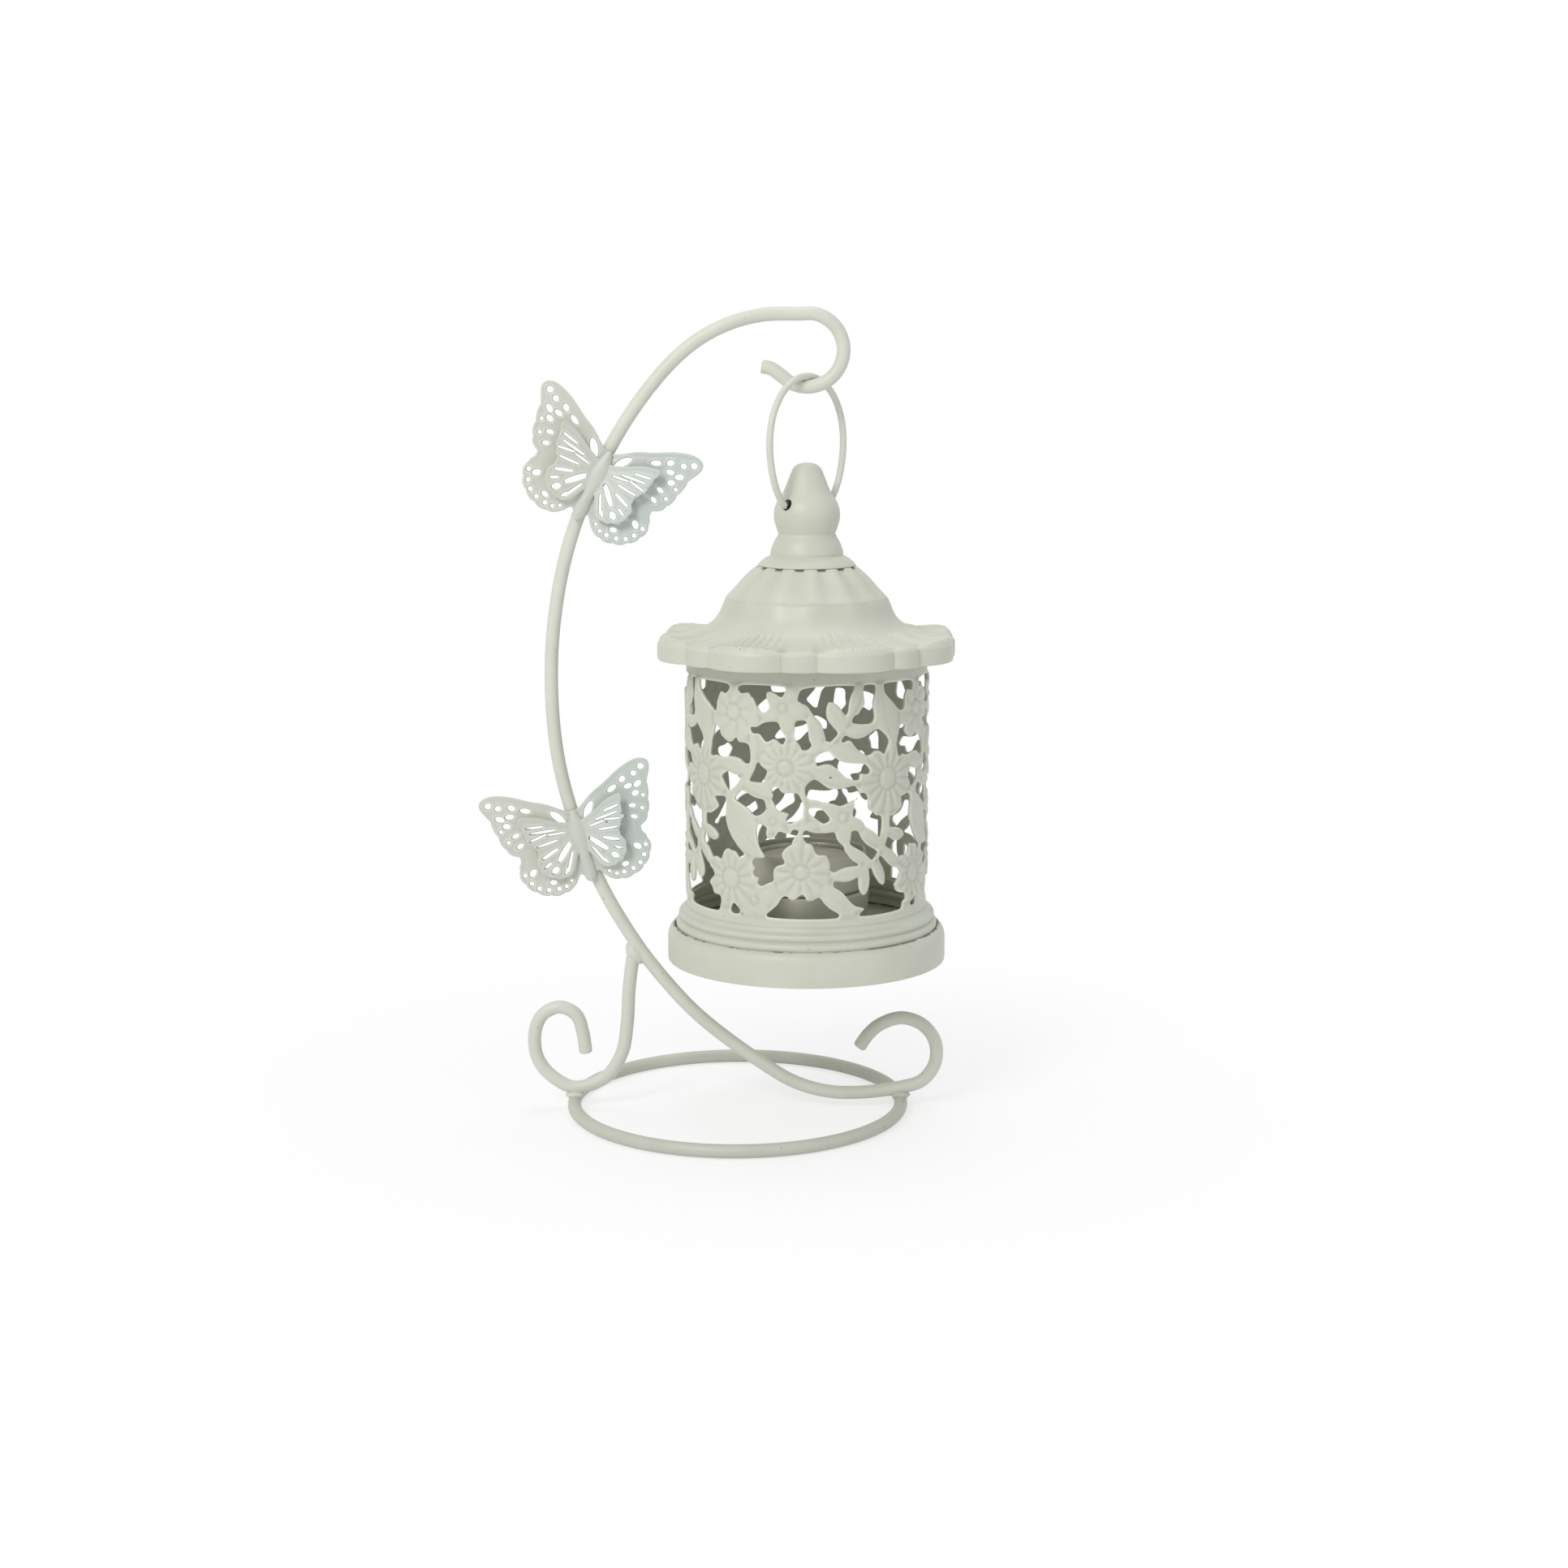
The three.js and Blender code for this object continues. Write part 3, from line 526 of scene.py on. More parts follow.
def cotton_material():
    material, tree, shader, place = node_material("cotton")
    threads = new_node(tree, "ShaderNodeTexWave", {
        "Scale": 900, "Distortion": 2, "Vector": place}).outputs["Fac"]
    filled(tree, shader, {
        "Base Color": ramp(tree, threads, (0, linear((176, 166, 146))),
                           (1, linear((226, 219, 204)))),
        "Roughness": 0.9,
        "Normal": bumped(tree, threads, 0.0001)})
    return material


wax_stuff = wax_material()
cotton = cotton_material()


# Wire stand.

def arc(centre, radius, angles):
    """Points of a circle at angles in degrees, anticlockwise from the right."""
    return [(centre[0] + radius * math.cos(math.radians(a)),
             centre[1] + radius * math.sin(math.radians(a))) for a in angles]


hook = [(AXIS_X - 1.26 * HOOK_R, HOOK_Z + 7.3), (AXIS_X - HOOK_R, HOOK_Z + 6.6)]
hook += arc((AXIS_X, HOOK_Z + HOOK_R), HOOK_R, range(222, 463, 24))
arch = [(10, 296.94), (-1.8, 294), (-13.5, 288.1), (-25.4, 277.8), (-42.1, 255.6),
        (-59.3, 220.2), (-67.3, 184.4), (-68, 148.1), (-63.4, 120.6), (-51.7, 88.1),
        (-41.4, 69.3), (-31.7, 55.2), (-15, 36.3), (9.6, 17.2), (21.9, 9.8), (34.3, 6.2),
        (47, 5.8)]
SCROLL_R = 13.6
OVER_RING = 3 * WIRE_R + 0.3
right_scroll = arc((RING_R, OVER_RING + SCROLL_R), SCROLL_R, range(-90, 127, 36))
right_scroll += [(49.6, 28.6), (46, 23.4)]
stem_line = spline(hook + arch + right_scroll)
stem_line[:, 1] = np.minimum(stem_line[:, 1], TOP_Z - WIRE_R)
brace_line = spline([(-39.4, 59), (-41, 45.8), (-41.8, 33), (-44, 21), (-50.5, 11.6),
                     (-RING_R, OVER_RING), (-70.4, 12), (-75.8, 19), (-76.9, 28.5),
                     (-74, 36), (-67.4, 39.2), (-61.2, 36.3), (-58.7, 29.5), (-57.6, 21.3)])


def bead(x, z, y, reach, lean, seed):
    """A lump of weld: an uneven drop that is longer along the wire."""
    rings, sides = 14, 20
    points = []
    for i in range(rings + 1):
        polar = math.pi * i / rings
        for j in range(sides):
            turn = 2 * math.pi * j / sides
            swell = 1 + 0.07 * math.sin(3 * polar + seed) * math.cos(2 * turn + 2 * seed)
            a = reach[0] * swell * math.cos(polar)
            b = reach[1] * swell * max(math.sin(polar), 0.004) * math.cos(turn)
            c = reach[2] * swell * max(math.sin(polar), 0.004) * math.sin(turn)
            points.append((x + a * math.cos(lean) - b * math.sin(lean), y + c,
                           z + a * math.sin(lean) + b * math.cos(lean)))
    return np.array(points), grid_faces(rings + 1, sides)


piece("stem", tube(stem_line, WIRE_R), stand_cream, "stand", "stem_wire")
brace_shape = shapes_joined([
    tube(brace_line, WIRE_R),
    bead(-38.5, 60.2, 0, (4.6, 3.2, 3.1), math.radians(-58), 2),
    bead(-RING_R, 5.2, -1.2, (3.4, 1.5, 2.4), 0, 3),
])
piece("brace", brace_shape, stand_cream, "stand", "brace_wire")


def ring():
    turns, sides = 240, 28
    a, b = full_turn(turns), full_turn(sides)
    r = RING_R + WIRE_R * np.cos(b)
    z = WIRE_R + WIRE_R * np.sin(b)
    points = np.stack([np.outer(np.sin(a), r), -np.outer(np.cos(a), r),
                       np.tile(z, (turns, 1))], 2).reshape(-1, 3)
    faces = [tuple(p % len(points) for p in face[::-1]) for face in grid_faces(turns + 1, sides)]
    return points, faces


# Painted shade over the whole ring, which keeps it darker than the rest of the stand.
RING_PAINTED_SHADE = 0.25
ring_shape = shapes_joined([ring(), bead(RING_R, 5.2, -1.2, (3.4, 1.5, 2.4), 0, 5)])
piece("ring", ring_shape, stand_cream, "stand", "base_ring",
      marks={"painted_shade": np.full(len(ring_shape[0]), RING_PAINTED_SHADE)})


# Butterflies: half outlines from the head to the tail, (across, up) from the waist.
OUTER_WING = [(0, 8), (3.5, 9.4), (8.6, 13.4), (14.4, 15.9), (20.6, 19.7), (27.6, 22.2),
              (32, 21.5), (33.3, 18.6), (30.8, 13.6), (29.8, 7.5), (27.8, -0.5), (22.6, -4),
              (25.6, -7.6), (25.4, -12.6), (22, -17.6), (16.5, -20.8), (10.5, -21.4),
              (6, -19), (3.2, -14.6), (1.4, -18.6), (0, -19.2)]
INNER_WING = [(0, 4.5), (3, 4.6), (8, 6.8), (13.5, 10), (20, 12), (21.4, 10.6),
              (20, 6.6), (19.8, 2.4), (16, -2.6), (18.4, -6), (17.6, -10.4),
              (14.6, -13.6), (9.4, -15.4), (5, -14), (2.4, -7.5), (0, -7.5)]
# Piercings: (across, up, half length, half width, turn in degrees).
OUTER_HOLES = [(16.8, 13.1, 2.1, 1.0, 25), (21.5, 15.6, 1.5, 1.1, 40), (23, 12.6, 1.7, 1.0, 10),
               (26.3, 16.8, 1.2, 1.1, 0), (29.6, 18.7, 1.3, 1.2, 0), (26.7, 12.6, 1.8, 1.1, 30),
               (25, 9.4, 1.5, 1.1, 20), (27.6, 8, 0.8, 0.8, 0), (22.7, 5.1, 1.5, 0.9, -10),
               (26, 3.4, 0.8, 0.8, 0), (22.2, 0.9, 1.4, 0.9, -25), (23.5, -10.3, 0.9, 0.9, 0),
               (20.4, -10.2, 1.7, 1.2, -40), (21.9, -13.9, 0.9, 0.9, 0),
               (19.7, -16.5, 0.9, 0.9, 0), (16.5, -18, 0.9, 0.9, 0),
               (14.1, -15.8, 1.5, 1.0, 15), (12.7, -18.6, 0.9, 0.9, 0),
               (9.8, -18.5, 0.8, 0.8, 0), (7.4, -17, 0.7, 0.7, 0)]
OUTER_WINDOW = [(3, 3), (3.8, 6.9), (5.8, 9.6), (8.8, 10.9), (7.8, 7)]
# Slots of the front layer: the ends of each, (across, up, across, up), and its half width.
INNER_SLOTS = [(5.2, 1.6, 11.4, 2.6, 0.45), (12.2, 3.0, 18.4, 2.2, 0.5),
               (8.4, 3.6, 17.6, 5.0, 0.5), (12.6, 6.2, 18.6, 7.4, 0.5),
               (8.6, -0.3, 16.2, -0.6, 0.5), (4.4, -3.0, 9.6, -7.8, 1.15),
               (4.2, -6.4, 7.6, -12.8, 0.55), (9.6, -3.6, 15.4, -5.4, 0.7),
               (11.6, -10.6, 12.8, -11.4, 1.35), (13.2, -7.9, 15.6, -8.9, 0.6),
               (7.8, -11.6, 8.8, -13.4, 0.5)]
WING_STEP = 0.3
WING_SHEET = 0.7


def wing_edge(across, up, half, scallops):
    """Distance from the outline of a pair of wings, positive inside it."""
    outline = half + [(-x, z) for x, z in half[-2:0:-1]]
    edge = depth_inside(across, up, softened(outline, 3))
    angle = np.arctan2(up - 1, across - 6)
    below_front_edge = smooth(3.5, 1, up - 0.42 * across) * smooth(6, 9, across)
    return edge - scallops * (1 - np.abs(np.sin(14 * angle))) ** 1.5 * below_front_edge


def wing_openings(across, up, holes, slots, window):
    """Distance from the piercings of a pair of wings, negative inside them."""
    opening = np.full(across.shape, FAR)
    for x, z, long, short, turn in holes:
        c, s = math.cos(math.radians(turn)), math.sin(math.radians(turn))
        a = ((across - x) * c + (up - z) * s) / long
        b = ((up - z) * c - (across - x) * s) / short
        opening = np.minimum(opening, (np.hypot(a, b) - 1) * math.sqrt(long * short))
    for *ends, r in slots:
        t, gap = to_segment(across, up, *ends)
        opening = np.minimum(opening, gap - r * (0.55 + 0.45 * np.sin(math.pi * (0.15 + 0.7 * t))))
    if window:
        opening = np.minimum(opening, -depth_inside(across, up, softened(window, 3)))
    return opening


def wing_sheet(half, bend, y, place, scallops, holes=(), slots=(), window=None, behind=()):
    """A pair of wings, bent from the waist towards the viewer. behind is for openings that
    lie behind those of the layer in front, and get no rim."""
    reach_u = math.ceil((max(x for x, _ in half) + 1) / WING_STEP)
    u = np.arange(-reach_u, reach_u + 1) * WING_STEP
    v = np.arange(min(z for _, z in half) - 1, max(z for _, z in half) + 1, WING_STEP)
    across, up = np.meshgrid(np.abs(u), v, indexing="ij")
    edge = wing_edge(across, up, half, scallops)
    opening = wing_openings(across, up, holes, slots, window)
    depth = np.minimum(edge, opening)
    if behind:
        depth = np.minimum(depth, wing_openings(across, up, (), behind, None))
    # A pressed rim round each piercing, a soft border line and shallow veins from the waist.
    relief = 0.16 * ridge(opening, 0.45, 0.4) - 0.1 * ridge(edge, 1.5, 0.5)
    reach = np.hypot(across, up)
    veins = np.cos(np.arctan2(up, across + 0.5) * 17)
    relief = relief + 0.06 * veins * smooth(3, 7, reach) * smooth(30, 12, reach)
    roll = rolled_edge(depth, 0.5, 0.26)
    # Each mark and its share on the back: painted shade in the recesses and on the cut edges of
    # the piercings, a painted highlight on the rim round each piercing, and a bluish painted shade
    # that grows towards the right-hand wings, which are turned from the light.
    fields = {"painted_shade": (np.maximum(pitted(relief, 2.4, 0.3), 0.75 * smooth(0.32, 0.08, opening)),
                         0.3),
              "rim": (0.9 * ridge(opening, 0.5, 0.25), 0),
              "shaded_side": (np.repeat(smooth(-14, 22, u)[:, None], len(v), 1), 1)}
    tangent = math.tan(math.radians(bend))
    shrink = math.cos(math.radians(bend))

    def faces_of(i, j, at):
        x = u[0] + i * WING_STEP
        z = v[0] + j * WING_STEP
        lift = tangent * (np.sqrt(x * x + 1.4) - math.sqrt(1.4))
        raised, rolled = at(relief), at(roll)
        front = place(x * shrink, y - lift * shrink - WING_SHEET - raised + rolled, z)
        back = place(x * shrink, y - lift * shrink - 0.7 * raised - 0.4 * rolled, z)
        return front, back

    shape, at = sheet(depth, False, faces_of)
    return shape, {name: np.concatenate([at(field), at(field) * back_share])
                   for name, (field, back_share) in fields.items()}


# The pressed body from its tail to its head: (up, half width, height).
BUTTERFLY_BODY = [(-19, 0.3, 0.2), (-18.6, 1.2, 0.5), (-17.4, 1.9, 0.8), (-15, 2.25, 1.0),
                  (-12, 2.2, 1.05), (-9.4, 2.0, 1.0), (-7.4, 2.2, 1.0), (-4.5, 3.3, 1.25),
                  (-1, 3.9, 1.5), (2.4, 3.4, 1.45), (5, 2.3, 1.15), (7, 1.5, 0.85),
                  (8.2, 0.9, 0.5), (8.8, 0.3, 0.2)]


def butterfly_body(front, back, place):
    """The embossed body, closed by a flat back."""
    v, half, height = spline(BUTTERFLY_BODY, 9).T
    half, height = np.maximum(half, 0.2), np.maximum(height, 0.15)
    rings = 1 - 0.16 * np.abs(np.cos(v * 2.9)) ** 6 * smooth(-7.5, -9.5, v)
    across = np.sin(np.linspace(-math.pi / 2, math.pi / 2, 25))
    lift = np.outer(height * rings, (1 - across ** 2) ** 1.15)
    u = np.outer(half, across)
    deep = np.concatenate([front + 0.1 - lift, np.full((len(v), 2), back)], 1)
    u = np.concatenate([u, u[:, -1:], u[:, :1]], 1)
    columns = u.shape[1]
    points = place(u.ravel(), deep.ravel(), np.repeat(v, columns))
    return points, [face[::-1] for face in capped(len(v), columns)]


BACK_BEND, FRONT_BEND = 8, 20
LAYER_GAP = 0.35


def butterfly(name, x, z, lean):
    """Two layers of wings in front of the stem, with the waist at x and z."""
    lean = math.radians(lean)

    def place(u, y, v):
        return np.stack([x + u * math.cos(lean) + v * math.sin(lean), y,
                         z - u * math.sin(lean) + v * math.cos(lean)], 1)

    back = -WIRE_R - 0.3
    # Wider openings lie behind the slots of the front layer, so that light comes through.
    behind = [(0.95 * x0, z0, 0.95 * x1, z1, r + 0.7) for x0, z0, x1, z1, r in INNER_SLOTS]
    shape, marks = wing_sheet(OUTER_WING, BACK_BEND, back, place, 0.5, OUTER_HOLES,
                              window=OUTER_WINDOW, behind=behind)
    piece(name + "_back_wings", shape, wing_cream, "stand",
          name + "_outer_wings", 40, marks)
    front = back - WING_SHEET - LAYER_GAP
    shape, marks = wing_sheet(INNER_WING, FRONT_BEND, front, place, 0.4, slots=INNER_SLOTS)
    body = butterfly_body(front - WING_SHEET, back - 0.4, place)
    # The pressed body gets part of the bluish painted shade.
    body_marks = {"painted_shade": 0, "rim": 0, "shaded_side": 0.4}
    marks = {key: np.concatenate([values, np.full(len(body[0]), body_marks[key])])
             for key, values in marks.items()}
    piece(name + "_front_wings", shapes_joined([shape, body]), wing_cream, "stand",
          name + "_inner_wings", 40, marks)


butterfly("upper_butterfly", -49.6, 240.2, 28)
butterfly("lower_butterfly", -59, 107.2, -15)


# Bail hoop, whose ends turn in through the finial's holes.

def bail():
    half_width, middle = 20.6, 251.5
    top = HOOK_Z + WIRE_R + BAIL_R + 0.1
    half = [(8.4, PIN_Z), (12.4, PIN_Z), (16, 233), (19.4, 241.5)]
    for a in range(0, 4):
        turn = math.radians(22.5 * a)
        half.append((half_width * math.cos(turn), middle + (top - middle) * math.sin(turn)))
    line = spline(half + [(0, top)] + [(-u, z) for u, z in half[::-1]], 10)
    points, faces = tube(line, BAIL_R, BAIL_TURN, 20)
    return points + [AXIS_X, 0, 0], faces


bail_piece = piece("bail", bail(), stand_cream, "bail", "bail_hoop")
# The ends, in and beside the finial's holes, have lost their paint.
BARE_REACH, BARE_TOP = 12.5, PIN_Z + 1.5
repainted(bail_piece, bare_wire, BARE_REACH, 0, BARE_TOP)


# Finial.
FINIAL = [(18, 206.5), (17.7, 207.1), (16, 208.7), (14.2, 209.8), (13.35, 210.3), (13.4, 211),
          (12.9, 213), (12, 215.2), (10.8, 217.3), (10.45, 218.1), (10.75, 219), (11.7, 221.8),
          (12.15, 224.6), (11.9, 227.2), (10.9, 229.9), (9.3, 232.3), (8.1, 234.7), (7, 237.4),
          (6, 239.9), (5.1, 241.8), (3.7, 243.1), (1.8, 243.75), (0, 243.88)]


def finial():
    """A knob, empty inside, with a wall as thick as the sheet, closed at the top."""
    outside = spline(FINIAL, 4)
    inside = beside(outside, -SHEET)
    inside[:, 0] = np.maximum(inside[:, 0], 0)
    inside[-1] = (0, outside[-1, 1] - SHEET)
    inside[0] = (outside[0, 0] - SHEET * 0.9, outside[0, 1] + 0.1)
    return turned(np.concatenate([outside, inside[::-1]]))


finial_piece = piece("finial_knob", finial(), cream, "lantern", "finial")


def cut_cylinder(target, centre, direction, radius, length):
    """Cuts a round hole through a piece, in a level direction."""
    side = np.array([-direction[1], direction[0], 0])
    angles = full_turn(32)
    rim = np.outer(np.cos(angles), side) + np.outer(np.sin(angles), [0, 0, 1])
    points = np.concatenate([centre + rim * radius - np.array(direction) * length / 2,
                             centre + rim * radius + np.array(direction) * length / 2])
    cutter = added("cutter", mesh_of("cutter", (points, capped(2, 32))))
    modifier = target.modifiers.new("holes", "BOOLEAN")
    modifier.object = cutter
    modifier.operation = "DIFFERENCE"
    modifier.solver = "EXACT"
    bpy.context.view_layer.update()
    depsgraph = bpy.context.evaluated_depsgraph_get()
    result = bpy.data.meshes.new_from_object(target.evaluated_get(depsgraph))
    target.modifiers.remove(modifier)
    target.data = result
    bpy.data.objects.remove(cutter)


PIN_HOLE_R = 2.0
cut_cylinder(finial_piece, np.array([AXIS_X, 0, PIN_Z]),
             (math.cos(BAIL_TURN), math.sin(BAIL_TURN), 0), PIN_HOLE_R, 40)


# Roof.
ROOF = [(17.2, 206.7), (18.1, 206.3), (19.4, 205.5), (21, 204.25), (22.3, 203.05), (23.6, 201.8),
        (25.7, 199.4), (27.6, 197.3), (28.8, 196.1), (29.6, 195.2), (30.2, 194.3), (31, 192.4),
        (31.8, 190.4), (33, 188.1), (34.9, 185.8), (37.4, 183.9), (40.6, 182.6), (44.2, 181.7),
        (48, 181.1), (51.5, 180.7), (54, 180.55), (55.2, 180.35), (56, 179.9), (56.4, 179.2),
        (56.5, 178.2), (56.5, 174.2), (56.35, 173.5), (55.95, 173.3)]
PETAL_PAIRS = 8
FLUTES = 14
# Angles in degrees from the front to the right.
WIDE_PETAL = 31
FIRST_NOTCH = 3.7
FLUTE_TURN = 9
NOTCH_DEPTH = 4.2
PETAL_TIP_R = 56.5
ROOF_RIGHT = 54.57
CREASE_Z = 194.8


def roof():
    """The roof, with its marks: the profile is drawn in at the notches and raised in petals,
    and flutes run down from its top."""
    columns = 1260
    profile = spline(ROOF, 3)
    along = directions(profile)
    pair = 360 / PETAL_PAIRS
    phi = np.arange(columns) * 360 / columns
    place_in = (phi - FIRST_NOTCH) % pair
    petal = np.floor((phi - FIRST_NOTCH) / pair)
    wide = place_in < WIDE_PETAL
    t = np.where(wide, place_in / WIDE_PETAL, (place_in - WIDE_PETAL) / (pair - WIDE_PETAL))
    hump = np.sqrt(np.sin(math.pi * t) ** 2 + 0.008)
    low_hump = np.minimum(hump, 1)
    drawn = NOTCH_DEPTH * np.where(wide, 1 - low_hump ** 0.6, 1 - 0.55 * low_hump ** 0.5)
    notch = np.minimum(place_in, np.minimum(np.abs(place_in - WIDE_PETAL), pair - place_in))
    # Fine uneven grooves that fan out over each wide petal, from sums of waves.
    fan = np.zeros(columns)
    for k, (waves, amount) in enumerate(((8, 0.3), (13, 0.6), (19, 0.8), (26, 0.7))):
        fan += amount * np.cos(2 * math.pi * waves * t + 1.7 * petal * (k + 1) + k)
    at_sides = 0.6 + 0.7 * np.abs(np.sin(np.radians(phi)))
    fan = np.where(wide, fan, 0.2 * fan) * hump ** 0.5 * at_sides
    valley_turn = (phi + FLUTE_TURN + 180 / FLUTES) % (360 / FLUTES) - 180 / FLUTES
    slit = smooth(6.2, 4, np.abs(valley_turn))
    flute = 0.5 + 0.5 * np.cos(np.radians(valley_turn * FLUTES))
    rows, painted_shades, seams = [], [], []
    for outside in (True, False):
        order = range(len(profile)) if outside else range(len(profile))[::-1]
        for i in order:
            r, z = profile[i]
            on_top = smooth(56.3, 54, r)
            share = smooth(44, 54.5, r)
            groove = smooth(32.5, 40, r) * on_top
            crease = ridge(notch, 0, 1.8) * smooth(38, 50, r) * on_top
            swell = share * hump ** 0.8 * np.where(wide, 1.5, 0.5) * on_top
            upper = smooth(38, 24, r)
            mouth = smooth(19.7, 18.5, r)
            height = 0.17 * fan * groove - 0.6 * crease + swell
            height = height - 0.85 * flute * upper * (1 - 0.75 * mouth) - 0.4 * slit * mouth
            if not outside:
                height = height - SHEET
            radii = r - drawn * share - along[i, 1] * height
            rows.append(around_axis(radii, np.radians(phi), z + along[i, 0] * height))
            # Painted shade in the creases, fan grooves and flutes, a painted shadow in the slits
            # under the finial's skirt and a faint painted shade along the crease line; the inner
            # face gets less.
            mark = 0.22 * crease + np.clip(-fan, 0, 2) * 0.08 * groove + 0.08 * flute * upper
            mark = mark + 0.9 * slit * smooth(18.9, 18.3, r) + 0.05 * ridge(z, CREASE_Z, 0.5)
            painted_shades.append(np.clip(mark, 0, 0.9) * (1 if outside else 0.4))
            seams.append(np.full(columns, 0.1 * ridge(z, CREASE_Z, 0.35)))
    for values in (rows, painted_shades, seams):
        values.append(values[0])
    points = np.concatenate(rows)
    # No petal reaches past the tips, nor further to the right than the solid roof.
    limit = np.hypot(points[:, 0] - AXIS_X, points[:, 1])
    limit = PETAL_TIP_R / np.maximum(limit, PETAL_TIP_R)
    points[:, 0] = AXIS_X + np.minimum((points[:, 0] - AXIS_X) * limit, ROOF_RIGHT)
    points[:, 1] *= limit
    faces = [face[::-1] for face in grid_faces(len(rows), columns)]
    return (points, faces), {"painted_shade": np.concatenate(painted_shades), "seam": np.concatenate(seams)}


roof_shape, roof_marks = roof()
piece("petal_roof", roof_shape, cream, "lantern", "roof", 40, roof_marks)


# Pierced body. The pattern is drawn flat: s runs round the body from its front to the
# right, z is the height above the table. It repeats along the sheet.
PERIOD = 75.5
